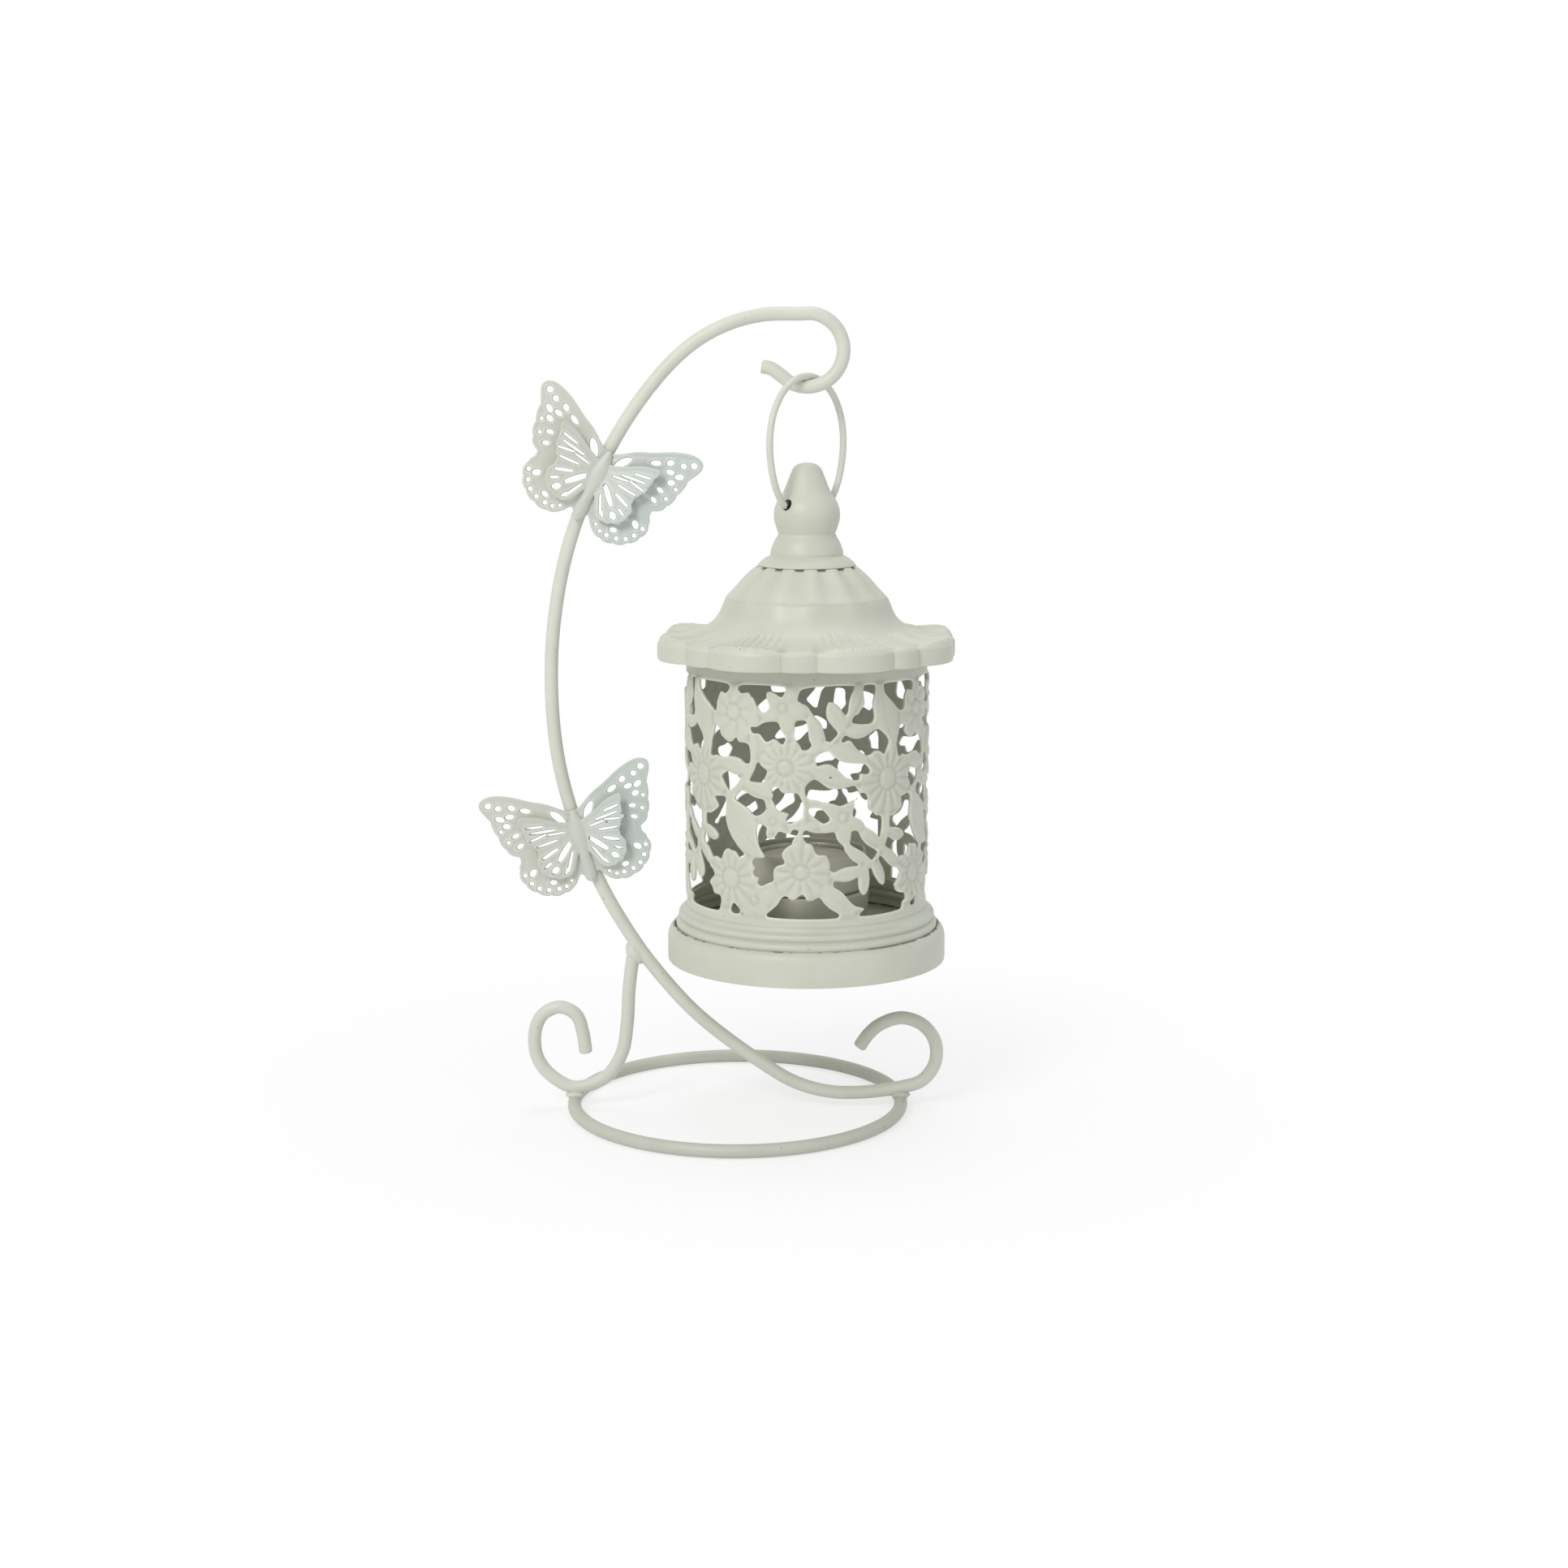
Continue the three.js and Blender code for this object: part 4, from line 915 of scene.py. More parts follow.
# Outlines of the openings: s and the height above OUTLINES_Z in turn, in tenths.
OUTLINES_Z = 80
OPENINGS = [
    [-262, 861, -253, 874, -82, 875, -75, 863, -90, 836, -96, 835, -127, 854, -144, 854, -150,
     844, -146, 824, -136, 803, -140, 789, -158, 776, -170, 776, -181, 787, -197, 828, -208, 832,
     -216, 845, -226, 847, -247, 840, -257, 849],
    [-210, 727, -185, 723, -164, 742, -111, 749, -103, 740, -94, 713, -76, 690, -87, 666, -94,
     666, -119, 688, -146, 672, -156, 674, -177, 703, -199, 699, -211, 713],
    [-379, 709, -374, 719, -349, 716, -350, 688, -331, 673, -300, 657, -269, 687, -266, 670, -261,
     665, -228, 665, -214, 651, -209, 602, -216, 591, -234, 589, -256, 608, -296, 613, -337, 601,
     -364, 611, -382, 602, -394, 607, -397, 614, -396, 662, -382, 688],
    [-341, 534, -310, 559, -288, 547, -257, 546, -253, 530, -269, 507, -302, 483, -314, 491, -327,
     514],
    [-183, 601, -168, 588, -141, 569, -156, 540, -157, 525, -191, 526, -219, 527, -210, 544, -193,
     575, -191, 588],
    [-106, 516, -97, 497, -82, 490, -64, 493, -33, 491, -24, 472, -17, 459, -13, 440, -17, 419,
     -16, 401, -39, 390, -66, 378, -80, 392, -73, 405, -66, 416, -82, 422, -103, 424, -115, 433,
     -117, 446, -133, 468, -122, 479, -133, 502, -123, 511],
    [-247, 495, -195, 468, -162, 466, -154, 452, -150, 432, -164, 412, -187, 402, -200, 404, -216,
     422, -238, 436, -261, 448, -274, 454, -277, 464, -265, 479],
    [-189, 362, -180, 376, -164, 373, -145, 366, -149, 348, -150, 334, -143, 322, -134, 321, -117,
     331, -108, 347, -99, 354, -82, 346, -59, 343, -57, 358, -45, 360, -37, 359, -30, 354, -39,
     338, -53, 323, -57, 303, -71, 299, -92, 276, -89, 256, -80, 239, -88, 232, -113, 226, -126,
     206, -118, 171, -148, 159, -171, 145, -186, 160, -179, 175, -184, 181, -197, 182, -203, 198,
     -193, 210, -195, 217, -207, 228, -203, 245, -191, 250, -155, 253, -155, 260, -173, 285, -182,
     309, -188, 335],
    [-371, 460, -375, 452, -362, 428, -358, 420, -383, 402, -402, 391, -416, 389, -430, 390, -432,
     370, -430, 348, -414, 348, -393, 344, -369, 332, -355, 316, -361, 303, -381, 293, -408, 297,
     -426, 309, -440, 316, -443, 306, -452, 283, -436, 274, -418, 264, -402, 247, -385, 228, -371,
     237, -362, 237, -346, 228, -335, 234, -321, 269, -310, 273, -292, 267, -279, 269, -267, 259,
     -262, 248, -253, 244, -240, 249, -235, 259, -257, 276, -281, 304, -300, 331, -314, 362, -319,
     376, -316, 417, -312, 448, -323, 463],
    [-302, 47, -297, 55, -285, 74, -280, 78, -274, 74, -257, 52, -258, 41, -267, 36, -292, 35],
    [93, 154, 93, 165, 102, 171, 138, 165, 166, 170, 187, 182, 189, 167, 190, 144, 196, 124, 206,
     111, 217, 114, 229, 128, 234, 150, 235, 175, 230, 202, 235, 209, 242, 209, 250, 187, 265,
     163, 280, 146, 291, 140, 301, 147, 306, 167, 301, 191, 288, 214, 274, 237, 281, 248, 289,
     247, 312, 223, 333, 205, 351, 197, 370, 191, 379, 182, 379, 167, 366, 153, 349, 135, 355,
     125, 364, 107, 382, 98, 407, 98, 415, 78, 414, 67, 405, 63, 402, 49, 398, 39, 386, 33, 201,
     32, 194, 39, 199, 47, 210, 54, 212, 63, 203, 66, 177, 73, 160, 87, 143, 108, 131, 124, 113,
     138, 95, 148],
    [-19, 341, -14, 355, -2, 360, 2, 354, 23, 348, 43, 347, 70, 348, 97, 351, 102, 337, 107, 321,
     117, 308, 132, 297, 134, 282, 145, 267, 164, 242, 189, 228, 191, 220, 168, 221, 136, 218,
     113, 210, 95, 200, 76, 215, 83, 228, 80, 238, 73, 251, 70, 263, 60, 268, 39, 267, 31, 272,
     23, 284, 19, 303, 8, 309, -2, 309, -12, 319],
    [157, 347, 163, 351, 182, 350, 192, 343, 199, 323, 212, 306, 230, 290, 245, 282, 260, 273,
     270, 263, 259, 249, 247, 239, 238, 237, 222, 255, 203, 271, 179, 286, 159, 297, 153, 306,
     157, 323],
    [168, 460, 186, 466, 190, 483, 199, 489, 215, 483, 225, 471, 227, 440, 231, 422, 253, 410,
     260, 398, 290, 396, 291, 358, 286, 335, 280, 312, 257, 335, 234, 350, 212, 364, 206, 378,
     195, 390, 175, 399, 163, 403, 166, 424, 168, 440],
    [-10, 510, -4, 522, 6, 532, 25, 544, 39, 536, 58, 520, 80, 505, 129, 505, 169, 515, 178, 509,
     192, 491, 188, 470, 168, 461, 144, 452, 117, 441, 92, 453, 53, 457, 33, 466, 0, 468, -8,
     487],
    [8, 438, 47, 439, 64, 421, 81, 399, 76, 389, 60, 382, 53, 382, 35, 395, 19, 407, 10, 413, 3,
     422, 4, 434],
    [26, 624, 72, 646, 84, 633, 97, 619, 117, 605, 148, 597, 191, 593, 212, 591, 224, 577, 235,
     562, 226, 552, 210, 553, 192, 558, 191, 538, 183, 533, 168, 534, 134, 546, 115, 569, 93, 588,
     78, 596, 56, 596, 35, 588, 29, 596],
    [119, 678, 136, 699, 148, 692, 171, 682, 203, 684, 234, 697, 263, 716, 280, 705, 304, 686,
     319, 662, 312, 643, 298, 618, 288, 620, 269, 635, 249, 633, 234, 621, 218, 620, 203, 627,
     171, 655, 164, 670, 148, 680, 131, 669],
    [206, 869, 212, 874, 249, 874, 256, 863, 249, 830, 242, 803, 249, 771, 251, 752, 240, 732,
     164, 736, 161, 750, 171, 766, 187, 769, 199, 791, 212, 803, 210, 822, 205, 853],
    [286, 869, 292, 874, 351, 874, 448, 874, 459, 859, 444, 837, 432, 837, 416, 845, 403, 822,
     397, 803, 398, 783, 390, 770, 378, 768, 358, 782, 339, 799, 304, 828, 290, 845],
    [-27, 864, 19, 872, 97, 875, 169, 874, 171, 867, 156, 842, 148, 810, 147, 787, 141, 770, 134,
     769, 113, 801, 93, 816, 74, 819, 69, 807, 65, 787, 66, 766, 76, 746, 92, 727, 112, 705, 95,
     688, 78, 672, 65, 675, 63, 690, 56, 717, 50, 742, 29, 762, 10, 784, 0, 805, -27, 816, -38,
     823, -33, 842],
    [-47, 750, -23, 755, -5, 752, -1, 732, 2, 705, 5, 682, 15, 664, 8, 654, -8, 644, -20, 645,
     -29, 666, -43, 683, -51, 694, -46, 713],
    [-151, 47, -119, 73, -105, 89, -97, 107, -79, 119, -58, 100, -48, 102, -37, 111, -20, 127, -9,
     119, -2, 99, 19, 101, 33, 110, 47, 111, 62, 86, 86, 66, 109, 54, 117, 46, 114, 37, 107, 32,
     -140, 33, -150, 40],
]
BODY_COLUMNS = 660
BODY_ROWS = 236
BODY_BOTTOM, BODY_TOP = 80.8, 180.1
SOLID_DEPTH = 12.0
PATTERN_BOTTOM, PATTERN_TOP = 83, 168.6
AROUND = 2 * math.pi * BODY_R
SEAM = math.radians(136) * BODY_R
SEAM_LAP = 7
SEAM_DOTS = (92, 131, 172)

column_s = SEAM - AROUND + np.arange(BODY_COLUMNS) * AROUND / BODY_COLUMNS
row_z = np.linspace(BODY_BOTTOM, BODY_TOP, BODY_ROWS)
body_s, body_z = np.meshgrid(column_s, row_z, indexing="ij")


def pattern_depth():
    """Distance from the openings, positive in the sheet, and distance from the side seam."""
    depth = np.full(body_s.shape, SOLID_DEPTH)
    for outline in OPENINGS:
        edge = softened((np.reshape(outline, (-1, 2)) + [0, 10 * OUTLINES_Z]) / 10)
        low, high = edge.min(0) - 3, edge.max(0) + 3
        for copy in range(-4, 4):
            shift = copy * PERIOD
            near = ((body_s > low[0] + shift) & (body_s < high[0] + shift)
                    & (body_z > low[1]) & (body_z < high[1]))
            if near.any():
                gap = -depth_inside(body_s[near] - shift, body_z[near], edge)
                depth[near] = np.minimum(depth[near], gap)
    from_seam = np.minimum(np.abs(body_s - SEAM), np.abs(body_s - SEAM + AROUND))
    return np.maximum(depth, SEAM_LAP / 2 - from_seam), from_seam


def nearest(cx):
    """Where each column is from the nearest repeat of a place in the pattern."""
    return (body_s - cx + PERIOD / 2) % PERIOD - PERIOD / 2


def lay(relief, height, weight):
    """Lays a motif over the relief."""
    return relief * (1 - weight) + height * weight


def daisy(relief, cx, cz, radius, petals, button, turn=0.0, twist=0.0, high=0.62):
    """A flower with many even petals round a button."""
    ds, dz = nearest(cx), body_z - cz
    r, a = np.hypot(ds, dz), np.arctan2(dz, ds)
    wave = np.cos(petals / 2 * (a - math.radians(turn) + twist * r)) ** 2
    edge = radius * (1 - 0.09 * (1 - wave))
    swell = np.sin(math.pi * np.clip((r - button) / (radius - button), 0, 1) * 0.75 + 0.5)
    height = (0.3 + 0.72 * high * wave ** 0.8) * (0.55 + 0.45 * swell)
    dots = 0.07 * np.cos(2 * a + 2.6 * r)
    height = np.where(r < button, 0.2 + 0.55 * dome(r / button) + dots, height)
    height = height - 0.22 * ridge(r, button, 0.6)
    return lay(relief, height, smooth(edge + 0.25, edge - 0.55, r))


def blossom(relief, cx, cz, radius, angles, width=0.36, high=0.62):
    """A flower with a broad petal at each angle, in degrees, and a small eye."""
    ds, dz = nearest(cx), body_z - cz
    best = np.zeros(ds.shape)
    for angle in angles:
        c, s = math.cos(math.radians(angle)), math.sin(math.radians(angle))
        along = (ds * c + dz * s) / radius
        across = (dz * c - ds * s) / radius
        q = ((along - 0.55) / 0.47) ** 2 + (across / width) ** 2
        petal = high * np.sqrt(np.clip(1 - q, 0, 1))
        midrib = ridge(across * radius, 0, 0.5) * smooth(0.95, 0.5, along)
        petal = petal - 0.1 * midrib * (q < 1)
        best = np.where(q < 1, np.maximum(best, petal), best)
    r = np.hypot(ds, dz)
    eye = 0.17 * radius
    best = np.where(r < eye, 0.3 + 0.45 * dome(r / eye), best)
    best = best - 0.15 * ridge(r, eye, 0.5)
    return lay(relief, best, smooth(radius * 1.04, radius * 0.9, r))


def leaf(relief, x0, z0, x1, z1, width, bend, veins):
    """A leaf from its root to its tip. A wide one has veins, spaced along it."""
    ds = nearest((x0 + x1) / 2) + (x1 - x0) / 2
    dz = body_z - z0
    length = math.hypot(x1 - x0, z1 - z0)
    ax, az = (x1 - x0) / length, (z1 - z0) / length
    along = (ds * ax + dz * az) / length
    across = dz * ax - ds * az - 4 * bend * np.clip(along * (1 - along), 0, 1)
    half = 0.5 * width * np.sin(math.pi * np.clip(0.06 + 0.9 * along, 0.02, 0.98)) ** 0.75 + 0.15
    q = across / half
    height = 0.12 + 0.5 * dome(q)
    height = height - 0.16 * ridge(across, 0, 0.5) * smooth(-0.02, 0.1, along)
    if width > 5.5:
        stripe = np.cos(2 * math.pi * (along * length - 0.9 * np.abs(across)) / veins)
        height = height - 0.08 * np.clip(stripe, 0, 1) ** 2 * smooth(0, 0.35, np.abs(q))
    weight = smooth(1.08, 0.88, np.abs(q))
    weight = weight * smooth(-0.05, 0.02, along) * smooth(1.05, 0.98, along)
    return lay(relief, height, weight)


def stalk(relief, points, width):
    """A round stalk along a smooth line."""
    line = spline(points, 6)
    middle = line[:, 0].mean()
    ds = nearest(middle) + middle
    best = np.full(ds.shape, FAR)
    for start, end in zip(line[:-1], line[1:]):
        best = np.minimum(best, to_segment(ds, body_z, *start, *end)[1])
    height = 0.45 * dome(best / (0.62 * width))
    return lay(relief, height, smooth(0.66 * width, 0.5 * width, best))


# Leaves: s and z of the root and of the tip, width, bend and the spacing of the veins.
LEAVES = [
    (-30.4, 127.5, -15.4, 105.6, 13, -2, 3.4), (-0.5, 138.6, 18.5, 132.3, 7, 0.6, 1.9),
    (33.6, 144, 27, 169, 12.4, 0.6, 3.2), (4.6, 95.6, 17, 82.5, 8.4, 0.6, 2.3),
    (12.6, 87.8, 21.4, 86.2, 3, 0, 2.3), (-37, 139.4, -21.6, 135.6, 5.8, 1.2, 2.2),
    (-23.4, 131.6, -12.2, 127.6, 4.8, 0.8, 2.2), (4, 117.6, -3, 116.4, 3, 0, 2.2),
    (3.8, 145.2, 1, 156.6, 5.4, 0, 2.2), (12.8, 151, 7.6, 162.2, 5.4, 0, 2.2),
    (15.2, 156.4, 19.6, 168.4, 4.6, 0.8, 2.2), (13.8, 151.4, 26, 153.6, 4.4, -0.8, 2.2),
    (4.8, 146.4, 22.6, 140.2, 6.4, -0.6, 2.2), (31.8, 114, 40.2, 111.2, 5, 0.4, 2.2),
    (29, 107.6, 38.6, 100.8, 3.8, -0.4, 2.2), (24.4, 103.2, 29.6, 94, 4.2, -0.3, 2.2),
    (21.6, 101.4, 20.8, 91, 4.4, 0, 2.2), (21, 100.8, 8.6, 98.8, 5.2, 0.5, 2.2),
    (25, 102.8, 13, 110.6, 5, 0, 2.2), (29, 109, 18.6, 117.8, 4.8, 0, 2.2),
]
# Stalks: s and z of points along each, and its width.
STALKS = [([(-2, 142.6), (6, 146.4), (12.4, 152), (15.4, 158)], 2),
          ([(31.4, 122), (31.2, 115), (28.6, 108.4), (23, 102.6), (19.6, 100)], 2.2),
          ([(-20.4, 152), (-19.8, 143.6), (-22.4, 134.6), (-31, 126.4)], 2.4),
          ([(-2.2, 131), (-1.2, 121), (-3.4, 109)], 1.9)]


def pattern_relief():
    relief = np.zeros(body_s.shape)
    for points, width in STALKS:
        relief = stalk(relief, points, width)
    for values in LEAVES:
        relief = leaf(relief, *values)
    relief = daisy(relief, -28.2, 157.3, 10.8, 8, 3.0, 10, 0.05, 0.5)
    relief = blossom(relief, -8.8, 159.6, 8.9, (130, 70, -8, -75, 200))
    relief = blossom(relief, -12.4, 118.7, 6.4, (20, 92, 164, 236, 308))
    relief = blossom(relief, 12.9, 120.2, 9.8, (62, 144, 206, -82, -20))
    relief = blossom(relief, -19.6, 89.4, 7.4, (18, 90, 162, 234, 306), 0.4, 0.4)
    relief = daisy(relief, -8, 138.2, 10.2, 16, 2.9)
    relief = daisy(relief, 31.2, 133, 13, 15, 4.1, 8)
    relief = daisy(relief, -2.2, 100.4, 10.8, 12, 2.8, 12)
    relief = daisy(relief, -29.6, 96.5, 11.6, 13, 3.9)
    return relief


def pierced_body():
    """The rolled sheet, with its marks of painted shade in recesses and painted highlight at cut
    edges.
    """
    depth, from_seam = pattern_depth()
    in_pattern = (smooth(PATTERN_BOTTOM, PATTERN_BOTTOM + 1.6, body_z)
                  * smooth(PATTERN_TOP, PATTERN_TOP - 1.6, body_z))
    lap = SEAM_LAP / 2
    plain = smooth(lap + 1, lap - 0.5, from_seam)
    relief = 1.35 * pattern_relief() * in_pattern * (1 - plain)
    relief = blurred(relief, 1) + 0.1 * ridge(depth, 0.7, 0.4)
    # The sheet's end lies over its start, and a row of pressed dots holds them.
    past_start = body_s - SEAM + AROUND
    signed_seam = np.where(past_start < AROUND / 2, past_start, body_s - SEAM)
    relief = relief + (0.45 * smooth(-lap - 0.2, -lap + 0.2, signed_seam)
                       * smooth(lap + 3, lap - 2, signed_seam))
    for z in SEAM_DOTS:
        relief = relief - 0.4 * ridge(np.hypot(signed_seam, body_z - z), 0, 1.3)
    roll = rolled_edge(depth, 0.7, 0.3) * (from_seam > lap)
    # Painted shade in the recesses of the relief and a painted highlight along the cut edges of
    # the openings.
    painted_shade = pitted(relief, 2.6, 0.42)
    rim = 0.75 * smooth(0.75, 0.25, depth) * (from_seam > lap)
    flare = 0.3 * smooth(84, 81, body_z)

    def faces_of(i, j, at):
        angle = (column_s[0] + i * AROUND / BODY_COLUMNS) / BODY_R
        z = BODY_BOTTOM + j * (BODY_TOP - BODY_BOTTOM) / (BODY_ROWS - 1)
        raised, rolled, out = at(relief), at(roll), at(flare)
        return [around_axis(radius, angle, z) for radius in (
            BODY_R + out + raised - rolled, BODY_R + out - SHEET + 0.6 * raised + 0.4 * rolled)]

    shape, at = sheet(depth, True, faces_of)
    return shape, at(painted_shade), at(rim)


FOOT = [(44.3, 82.6), (44.72, 81.6), (44.95, 80.6), (45.6, 79.2), (46.3, 78.4), (47.2, 77.9),
        (47.75, 77.2), (47.85, 76.4), (47.4, 75.5), (47.35, 75.1), (48.1, 74.6), (48.7, 73.8),
        (48.85, 72.6), (48.7, 71.4), (48.6, 70.8)]
FOOT_SHEET = 1.1


def foot():
    """The flared foot, which is thicker where the sheet is rolled."""
    outside = spline(FOOT, 3)
    return turned(np.concatenate([outside[::-1], beside(outside, FOOT_SHEET)]), 160)


body_shape, body_painted_shade, body_rim_highlight = pierced_body()
foot_shape = foot()
foot_z = foot_shape[0][:, 2]
# Grooves of the foot: height, width and how much painted shade.
FOOT_GROOVES = ((75.3, 0.35, 0.3), (80.2, 0.4, 0.25))
foot_painted_shade = sum(shading * ridge(foot_z, z, width) for z, width, shading in FOOT_GROOVES)
# Painted shade over the inner face of the body.
INSIDE_PAINTED_SHADE = 0.02
inside_painted_shade = np.full(len(body_painted_shade), INSIDE_PAINTED_SHADE)
piece("pierced_shade", shapes_joined([body_shape, foot_shape]), cream, "lantern",
      "pierced_body", 42,
      {"painted_shade": np.concatenate([body_painted_shade, inside_painted_shade, foot_painted_shade]),
       "rim": np.concatenate([body_rim_highlight, np.zeros(len(body_rim_highlight) + len(foot_z))])})


# Tray, cup and tealight.
TRAY = [(50.9, 59.5), (51.9, 59.55), (52, 60.2), (52, 67.8), (51.75, 69.4), (51.1, 70.9),
        (50.2, 71.9), (49.4, 72.3), (49.05, 72.1), (48.95, 71.2), (48.9, 70.5), (46, 70.45),
        (25, 70.5), (23.9, 70.7), (23.3, 71.5), (23.2, 73), (23.2, 84.2), (22.9, 85.2),
        (22.2, 85.65), (20, 85.7), (0, 85.7), (0, 84.7), (20.5, 84.7), (21.9, 84.2), (22.2, 82.5),
        (22.2, 71), (22.8, 69.8), (24.4, 69.5), (48.5, 69.5), (50, 69), (50.9, 67.4),
        (51, 66), (51, 60.5)]
tray_shape = turned(TRAY, 384)
tray_points = tray_shape[0]
tray_r = np.hypot(tray_points[:, 0] - AXIS_X, tray_points[:, 1])
# The inside of the rolled rim, beside the body's foot, and the floor within it.
RIM_INSIDE_R, RIM_INSIDE_REACH, TRAY_TOP = 49.1, 0.36, 70
FLOOR_R, FLOOR_LOW, FLOOR_HIGH = 48.5, 70.2, 100
tray_joint = (np.abs(tray_r - RIM_INSIDE_R) < RIM_INSIDE_REACH) * (tray_points[:, 2] > TRAY_TOP)
# Painted shade in the gap between the body's foot and the tray's rim, besides a broken dark line
# along the joint.
tray_pan = piece("tray_pan", tray_shape, cream, "tray", "base_tray", 40,
                 {"painted_shade": 0.3 * tray_joint, "seam": 1.0 * tray_joint})
repainted(tray_pan, cup_cream, FLOOR_R, FLOOR_LOW, FLOOR_HIGH)

CUP_BOTTOM = 86.0
CUP_RIM = 100.5
CUP = [(0, CUP_BOTTOM), (20.6, CUP_BOTTOM), (21.6, 86.3), (22.1, 87.2), (22.15, 98.6),
       (22.2, 99.3), (22.2, 100.1), (22.0, 100.45), (21.6, CUP_RIM), (21.3, 100.3), (21.35, 99),
       (21.4, 97), (21.4, 87.6), (21, 87), (20.4, 86.8), (0, 86.8)]
piece("cup", turned(rounded(CUP, 0.25), 128, False), cup_cream, "tray",
      "candle_cup")

FOIL_BOTTOM = 87.1
FOIL_RIM = 99.1


def fluting(r, z, angles):
    """The pressed flutes round the wall of the foil cup."""
    share = smooth(17.5, 18.5, r) * smooth(FOIL_RIM, FOIL_RIM - 1.4, z)
    share = share * smooth(FOIL_BOTTOM, 88.2, z)
    return -0.13 * (1 + np.cos(angles * 72)) / 2 * share


FOIL_CUP = [(0, FOIL_BOTTOM), (18.2, FOIL_BOTTOM), (18.75, 87.5), (18.85, 90), (18.85, 94),
            (18.85, 97.6), (18.95, 98.4), (19, 98.8), (18.9, 99.08), (18.65, FOIL_RIM),
            (18.5, 98.8), (18.55, 97.6), (18.55, 94), (18.55, 90), (18.4, 88), (18, 87.6),
            (0, 87.6)]
piece("foil_cup", turned(FOIL_CUP, 432, False, fluting), foil_metal, "tealight",
      "tealight_cup")
WAX = [(1.1, 97.0), (2, 97.05), (5, 97.1), (10, 97.1), (14.5, 97.1), (16.8, 97.2), (17.8, 97.35),
       (18.15, 97.5), (18.2, 97.3), (18.2, 96.6), (18.2, 88.2), (17.9, 87.9), (6.3, 87.9),
       (6.3, 88.6), (2.1, 88.7), (2.1, 91.7), (1.1, 91.8)]
piece("wax", turned(WAX, 128), wax_stuff, "tealight", "tealight_wax")
PLATE = [(1.1, 91.3), (1.6, 91.3), (1.8, 91.1), (1.8, 88.6), (2.1, 88.35), (5.7, 88.3), (6, 88.2),
         (6, 87.95), (5.8, 87.9), (1.1, 87.9)]
piece("wick_holder", turned(PLATE, 64), tin, "tealight", "wick_plate")


def wick():
    """A twisted strand with a rounded top."""
    rings, sides = 70, 24
    angles = full_turn(sides)
    rows = []
    for height in np.linspace(87.95, 103.4, rings):
        strand = 1 - 0.16 * np.abs(np.sin(1.5 * (angles - height * 0.9)))
        end = math.sqrt(max(1 - max((height - 102.9) / 0.55, 0) ** 2, 0.04))
        rows.append(around_axis(0.8 * strand * end, angles, height))
    return np.concatenate(rows), capped(rings, sides)


piece("wick", wick(), cotton, "tealight", "tealight_wick")


# Floor, light and camera.

def calculated(tree, operation, a, b):
    node = tree.nodes.new("ShaderNodeMath")
    node.operation = operation
    return filled(tree, node, {0: a, 1: b}).outputs["Value"]


def ray_is(tree, *kinds):
    """1 for a ray of one of these kinds, else 0."""
    path = tree.nodes.new("ShaderNodeLightPath")
    found = path.outputs[kinds[0]]
    for kind in kinds[1:]:
        found = calculated(tree, "MAXIMUM", found, path.outputs[kind])
    return found


def shaders_mixed(tree, factor, a, b, output):
    blend = new_node(tree, "ShaderNodeMixShader", {"Fac": factor, 1: a, 2: b})
    filled(tree, tree.nodes[output], {"Surface": blend.outputs["Shader"]})


# In metres. The floor is just under the ring, and its shadow fades between two distances.
FLOOR_REACH = 6.0
FLOOR_Z = -0.0002
SHADOW_FROM, SHADOW_TO = 0.07, 0.3
SHADOW_WHITE = 0.68


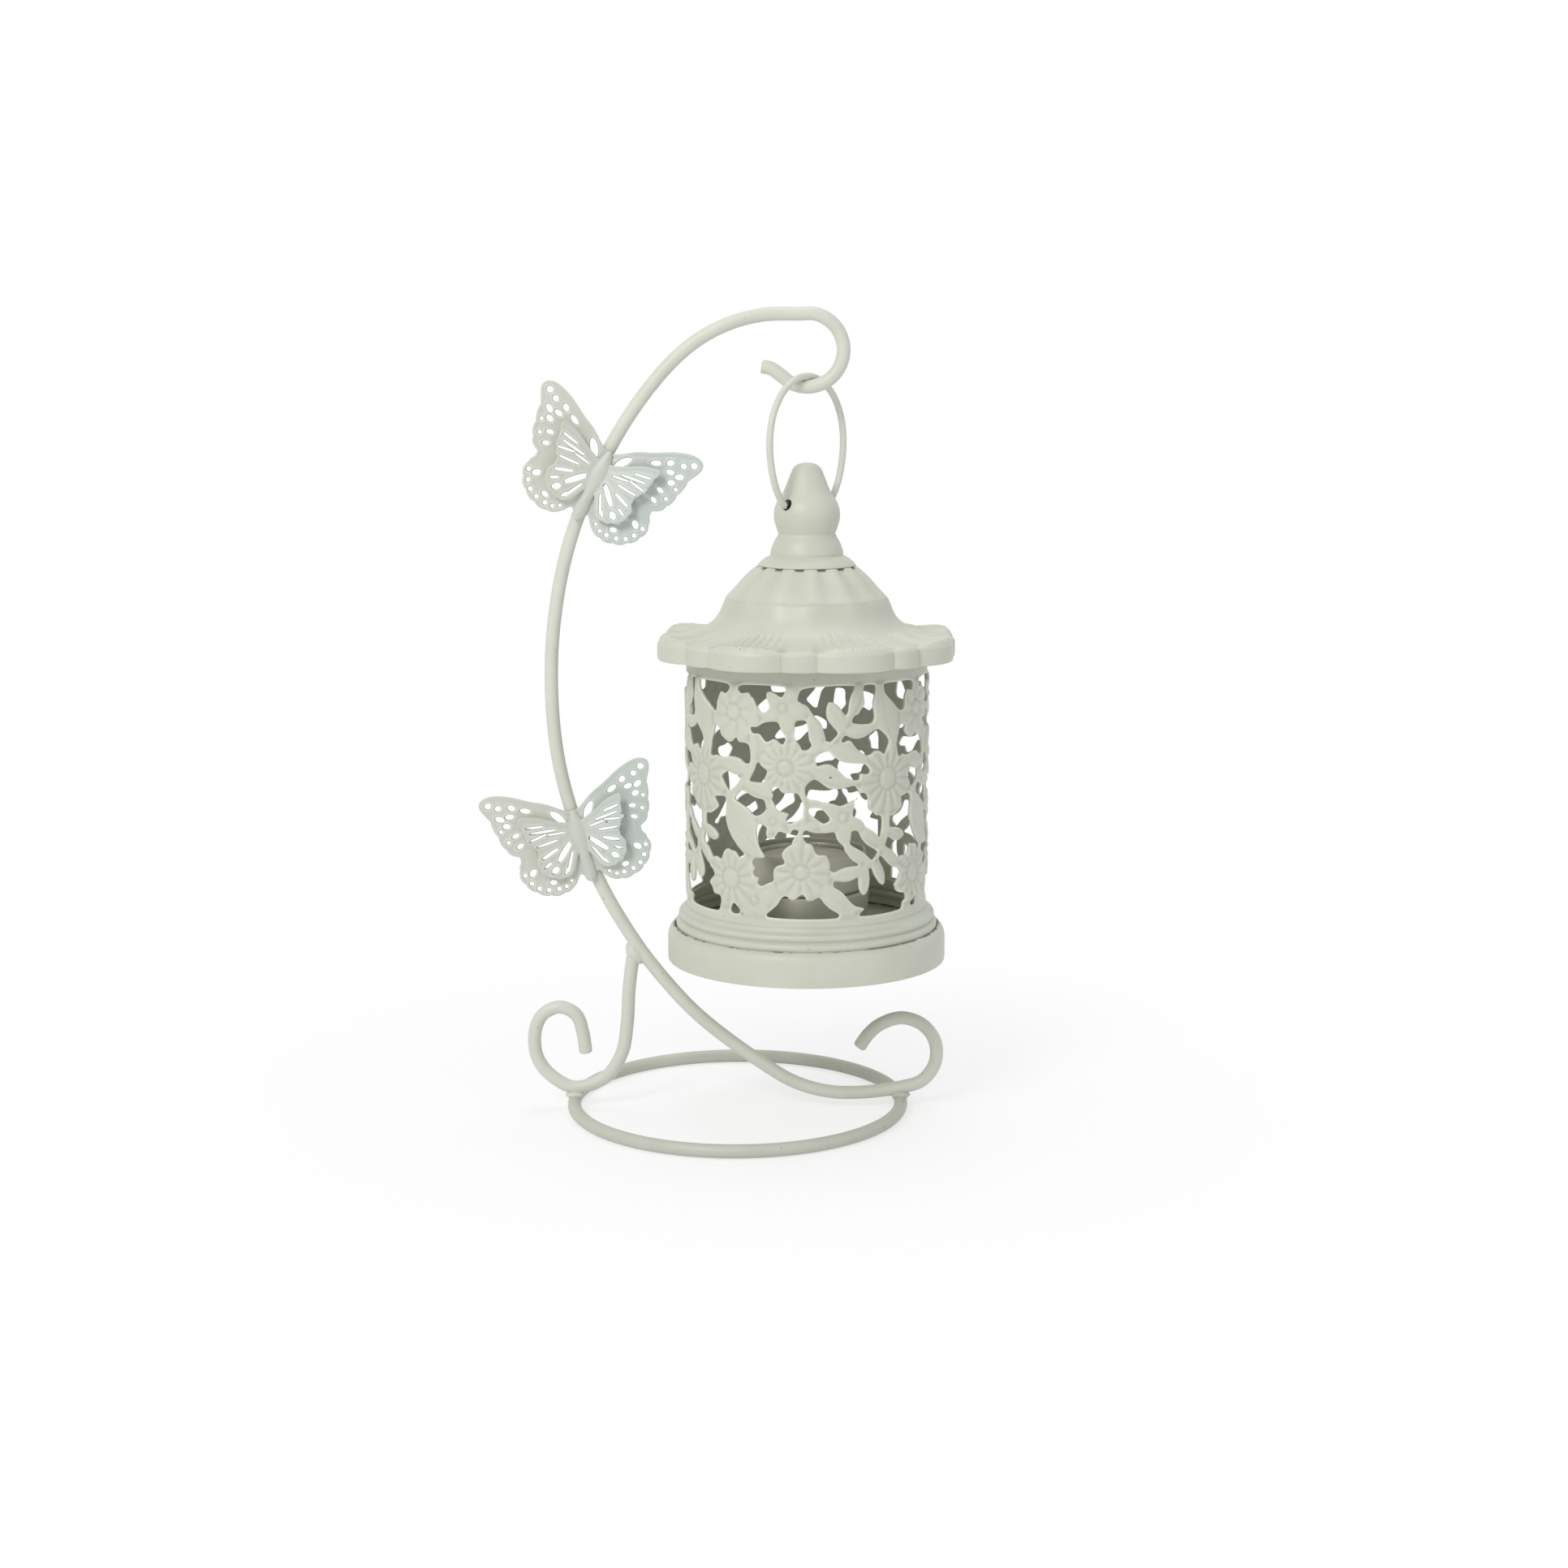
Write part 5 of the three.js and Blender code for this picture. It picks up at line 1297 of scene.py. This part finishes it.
def floor():
    """A pale floor, seen as white apart from a soft shadow round the lantern's foot."""
    corners = [(x * FLOOR_REACH, y * FLOOR_REACH, 0)
               for x, y in ((-1, -1), (1, -1), (1, 1), (-1, 1))]
    mesh = bpy.data.meshes.new("floor")
    mesh.from_pydata(corners, [], [(0, 1, 2, 3)])
    thing = added("floor", mesh)
    thing.location.z = FLOOR_Z
    material, tree, shader, place = node_material("floor")
    filled(tree, shader, {"Base Color": grey(0.97), "Roughness": 0.9, "Specular IOR Level": 0.1})
    length = tree.nodes.new("ShaderNodeVectorMath")
    length.operation = "LENGTH"
    filled(tree, length, {0: place})
    away = new_node(tree, "ShaderNodeMapRange", {
        "From Min": SHADOW_FROM, "From Max": SHADOW_TO, "To Min": SHADOW_WHITE,
        "Value": length.outputs["Value"]})
    away.interpolation_type = "SMOOTHSTEP"
    seen = ray_is(tree, "Is Camera Ray", "Is Glossy Ray")
    white = tree.nodes.new("ShaderNodeEmission")
    shaders_mixed(tree, calculated(tree, "MULTIPLY", away.outputs["Result"], seen),
                  shader.outputs["BSDF"], white.outputs["Emission"], "Material Output")
    mesh.materials.append(material)


floor()


def world():
    """Soft light from all round, in front of a background that is seen as white."""
    scene_world = bpy.data.worlds.new("studio")
    bpy.context.scene.world = scene_world
    scene_world.use_nodes = True
    tree = scene_world.node_tree
    glow = filled(tree, tree.nodes["Background"], {
        "Color": (0.97, 0.985, 1.0, 1), "Strength": 0.55})
    white = new_node(tree, "ShaderNodeBackground", {"Color": WHITE})
    shaders_mixed(tree, ray_is(tree, "Is Camera Ray", "Is Glossy Ray", "Is Transmission Ray"),
                  glow.outputs["Background"], white.outputs["Background"], "World Output")


world()


def lamp(name, spot, target, size, power, colour=(1, 1, 1)):
    """A round area light with a size in metres and a power in watts."""
    data = bpy.data.lights.new(name, "AREA")
    data.shape = "DISK"
    data.size = size
    data.energy = power
    data.color = colour
    thing = added(name, data)
    thing.location = spot
    thing.rotation_euler = (Vector(target) - Vector(spot)).to_track_quat("-Z", "Y").to_euler()


lamp("key", (-0.8, -1.4, 1.3), (0.02, 0, 0.15), 0.7, 15.5, (1.0, 0.99, 0.96))
lamp("fill", (1.4, -1.0, 0.7), (0.02, 0, 0.15), 1.2, 1.2, (0.9, 0.97, 1.0))
lamp("top", (0.1, 0.3, 1.8), (0.03, 0, 0.15), 0.9, 7)

PHOTO_SIDE = 1932
FOCAL_PIXELS = 3150
SENSOR = 36
CAMERA_AT = (RING_X + 17.6, -939, 287.9)
CAMERA_DOWN = 9.85

camera_data = bpy.data.cameras.new("camera")
camera_data.sensor_width = SENSOR
camera_data.lens = SENSOR * FOCAL_PIXELS / PHOTO_SIDE
camera_data.clip_end = 30
camera = added("camera", camera_data)
camera.location = [coordinate * MM for coordinate in CAMERA_AT]
camera.rotation_euler = (math.radians(90 - CAMERA_DOWN), 0, 0)
bpy.context.scene.camera = camera
bpy.context.scene.view_settings.view_transform = "Standard"
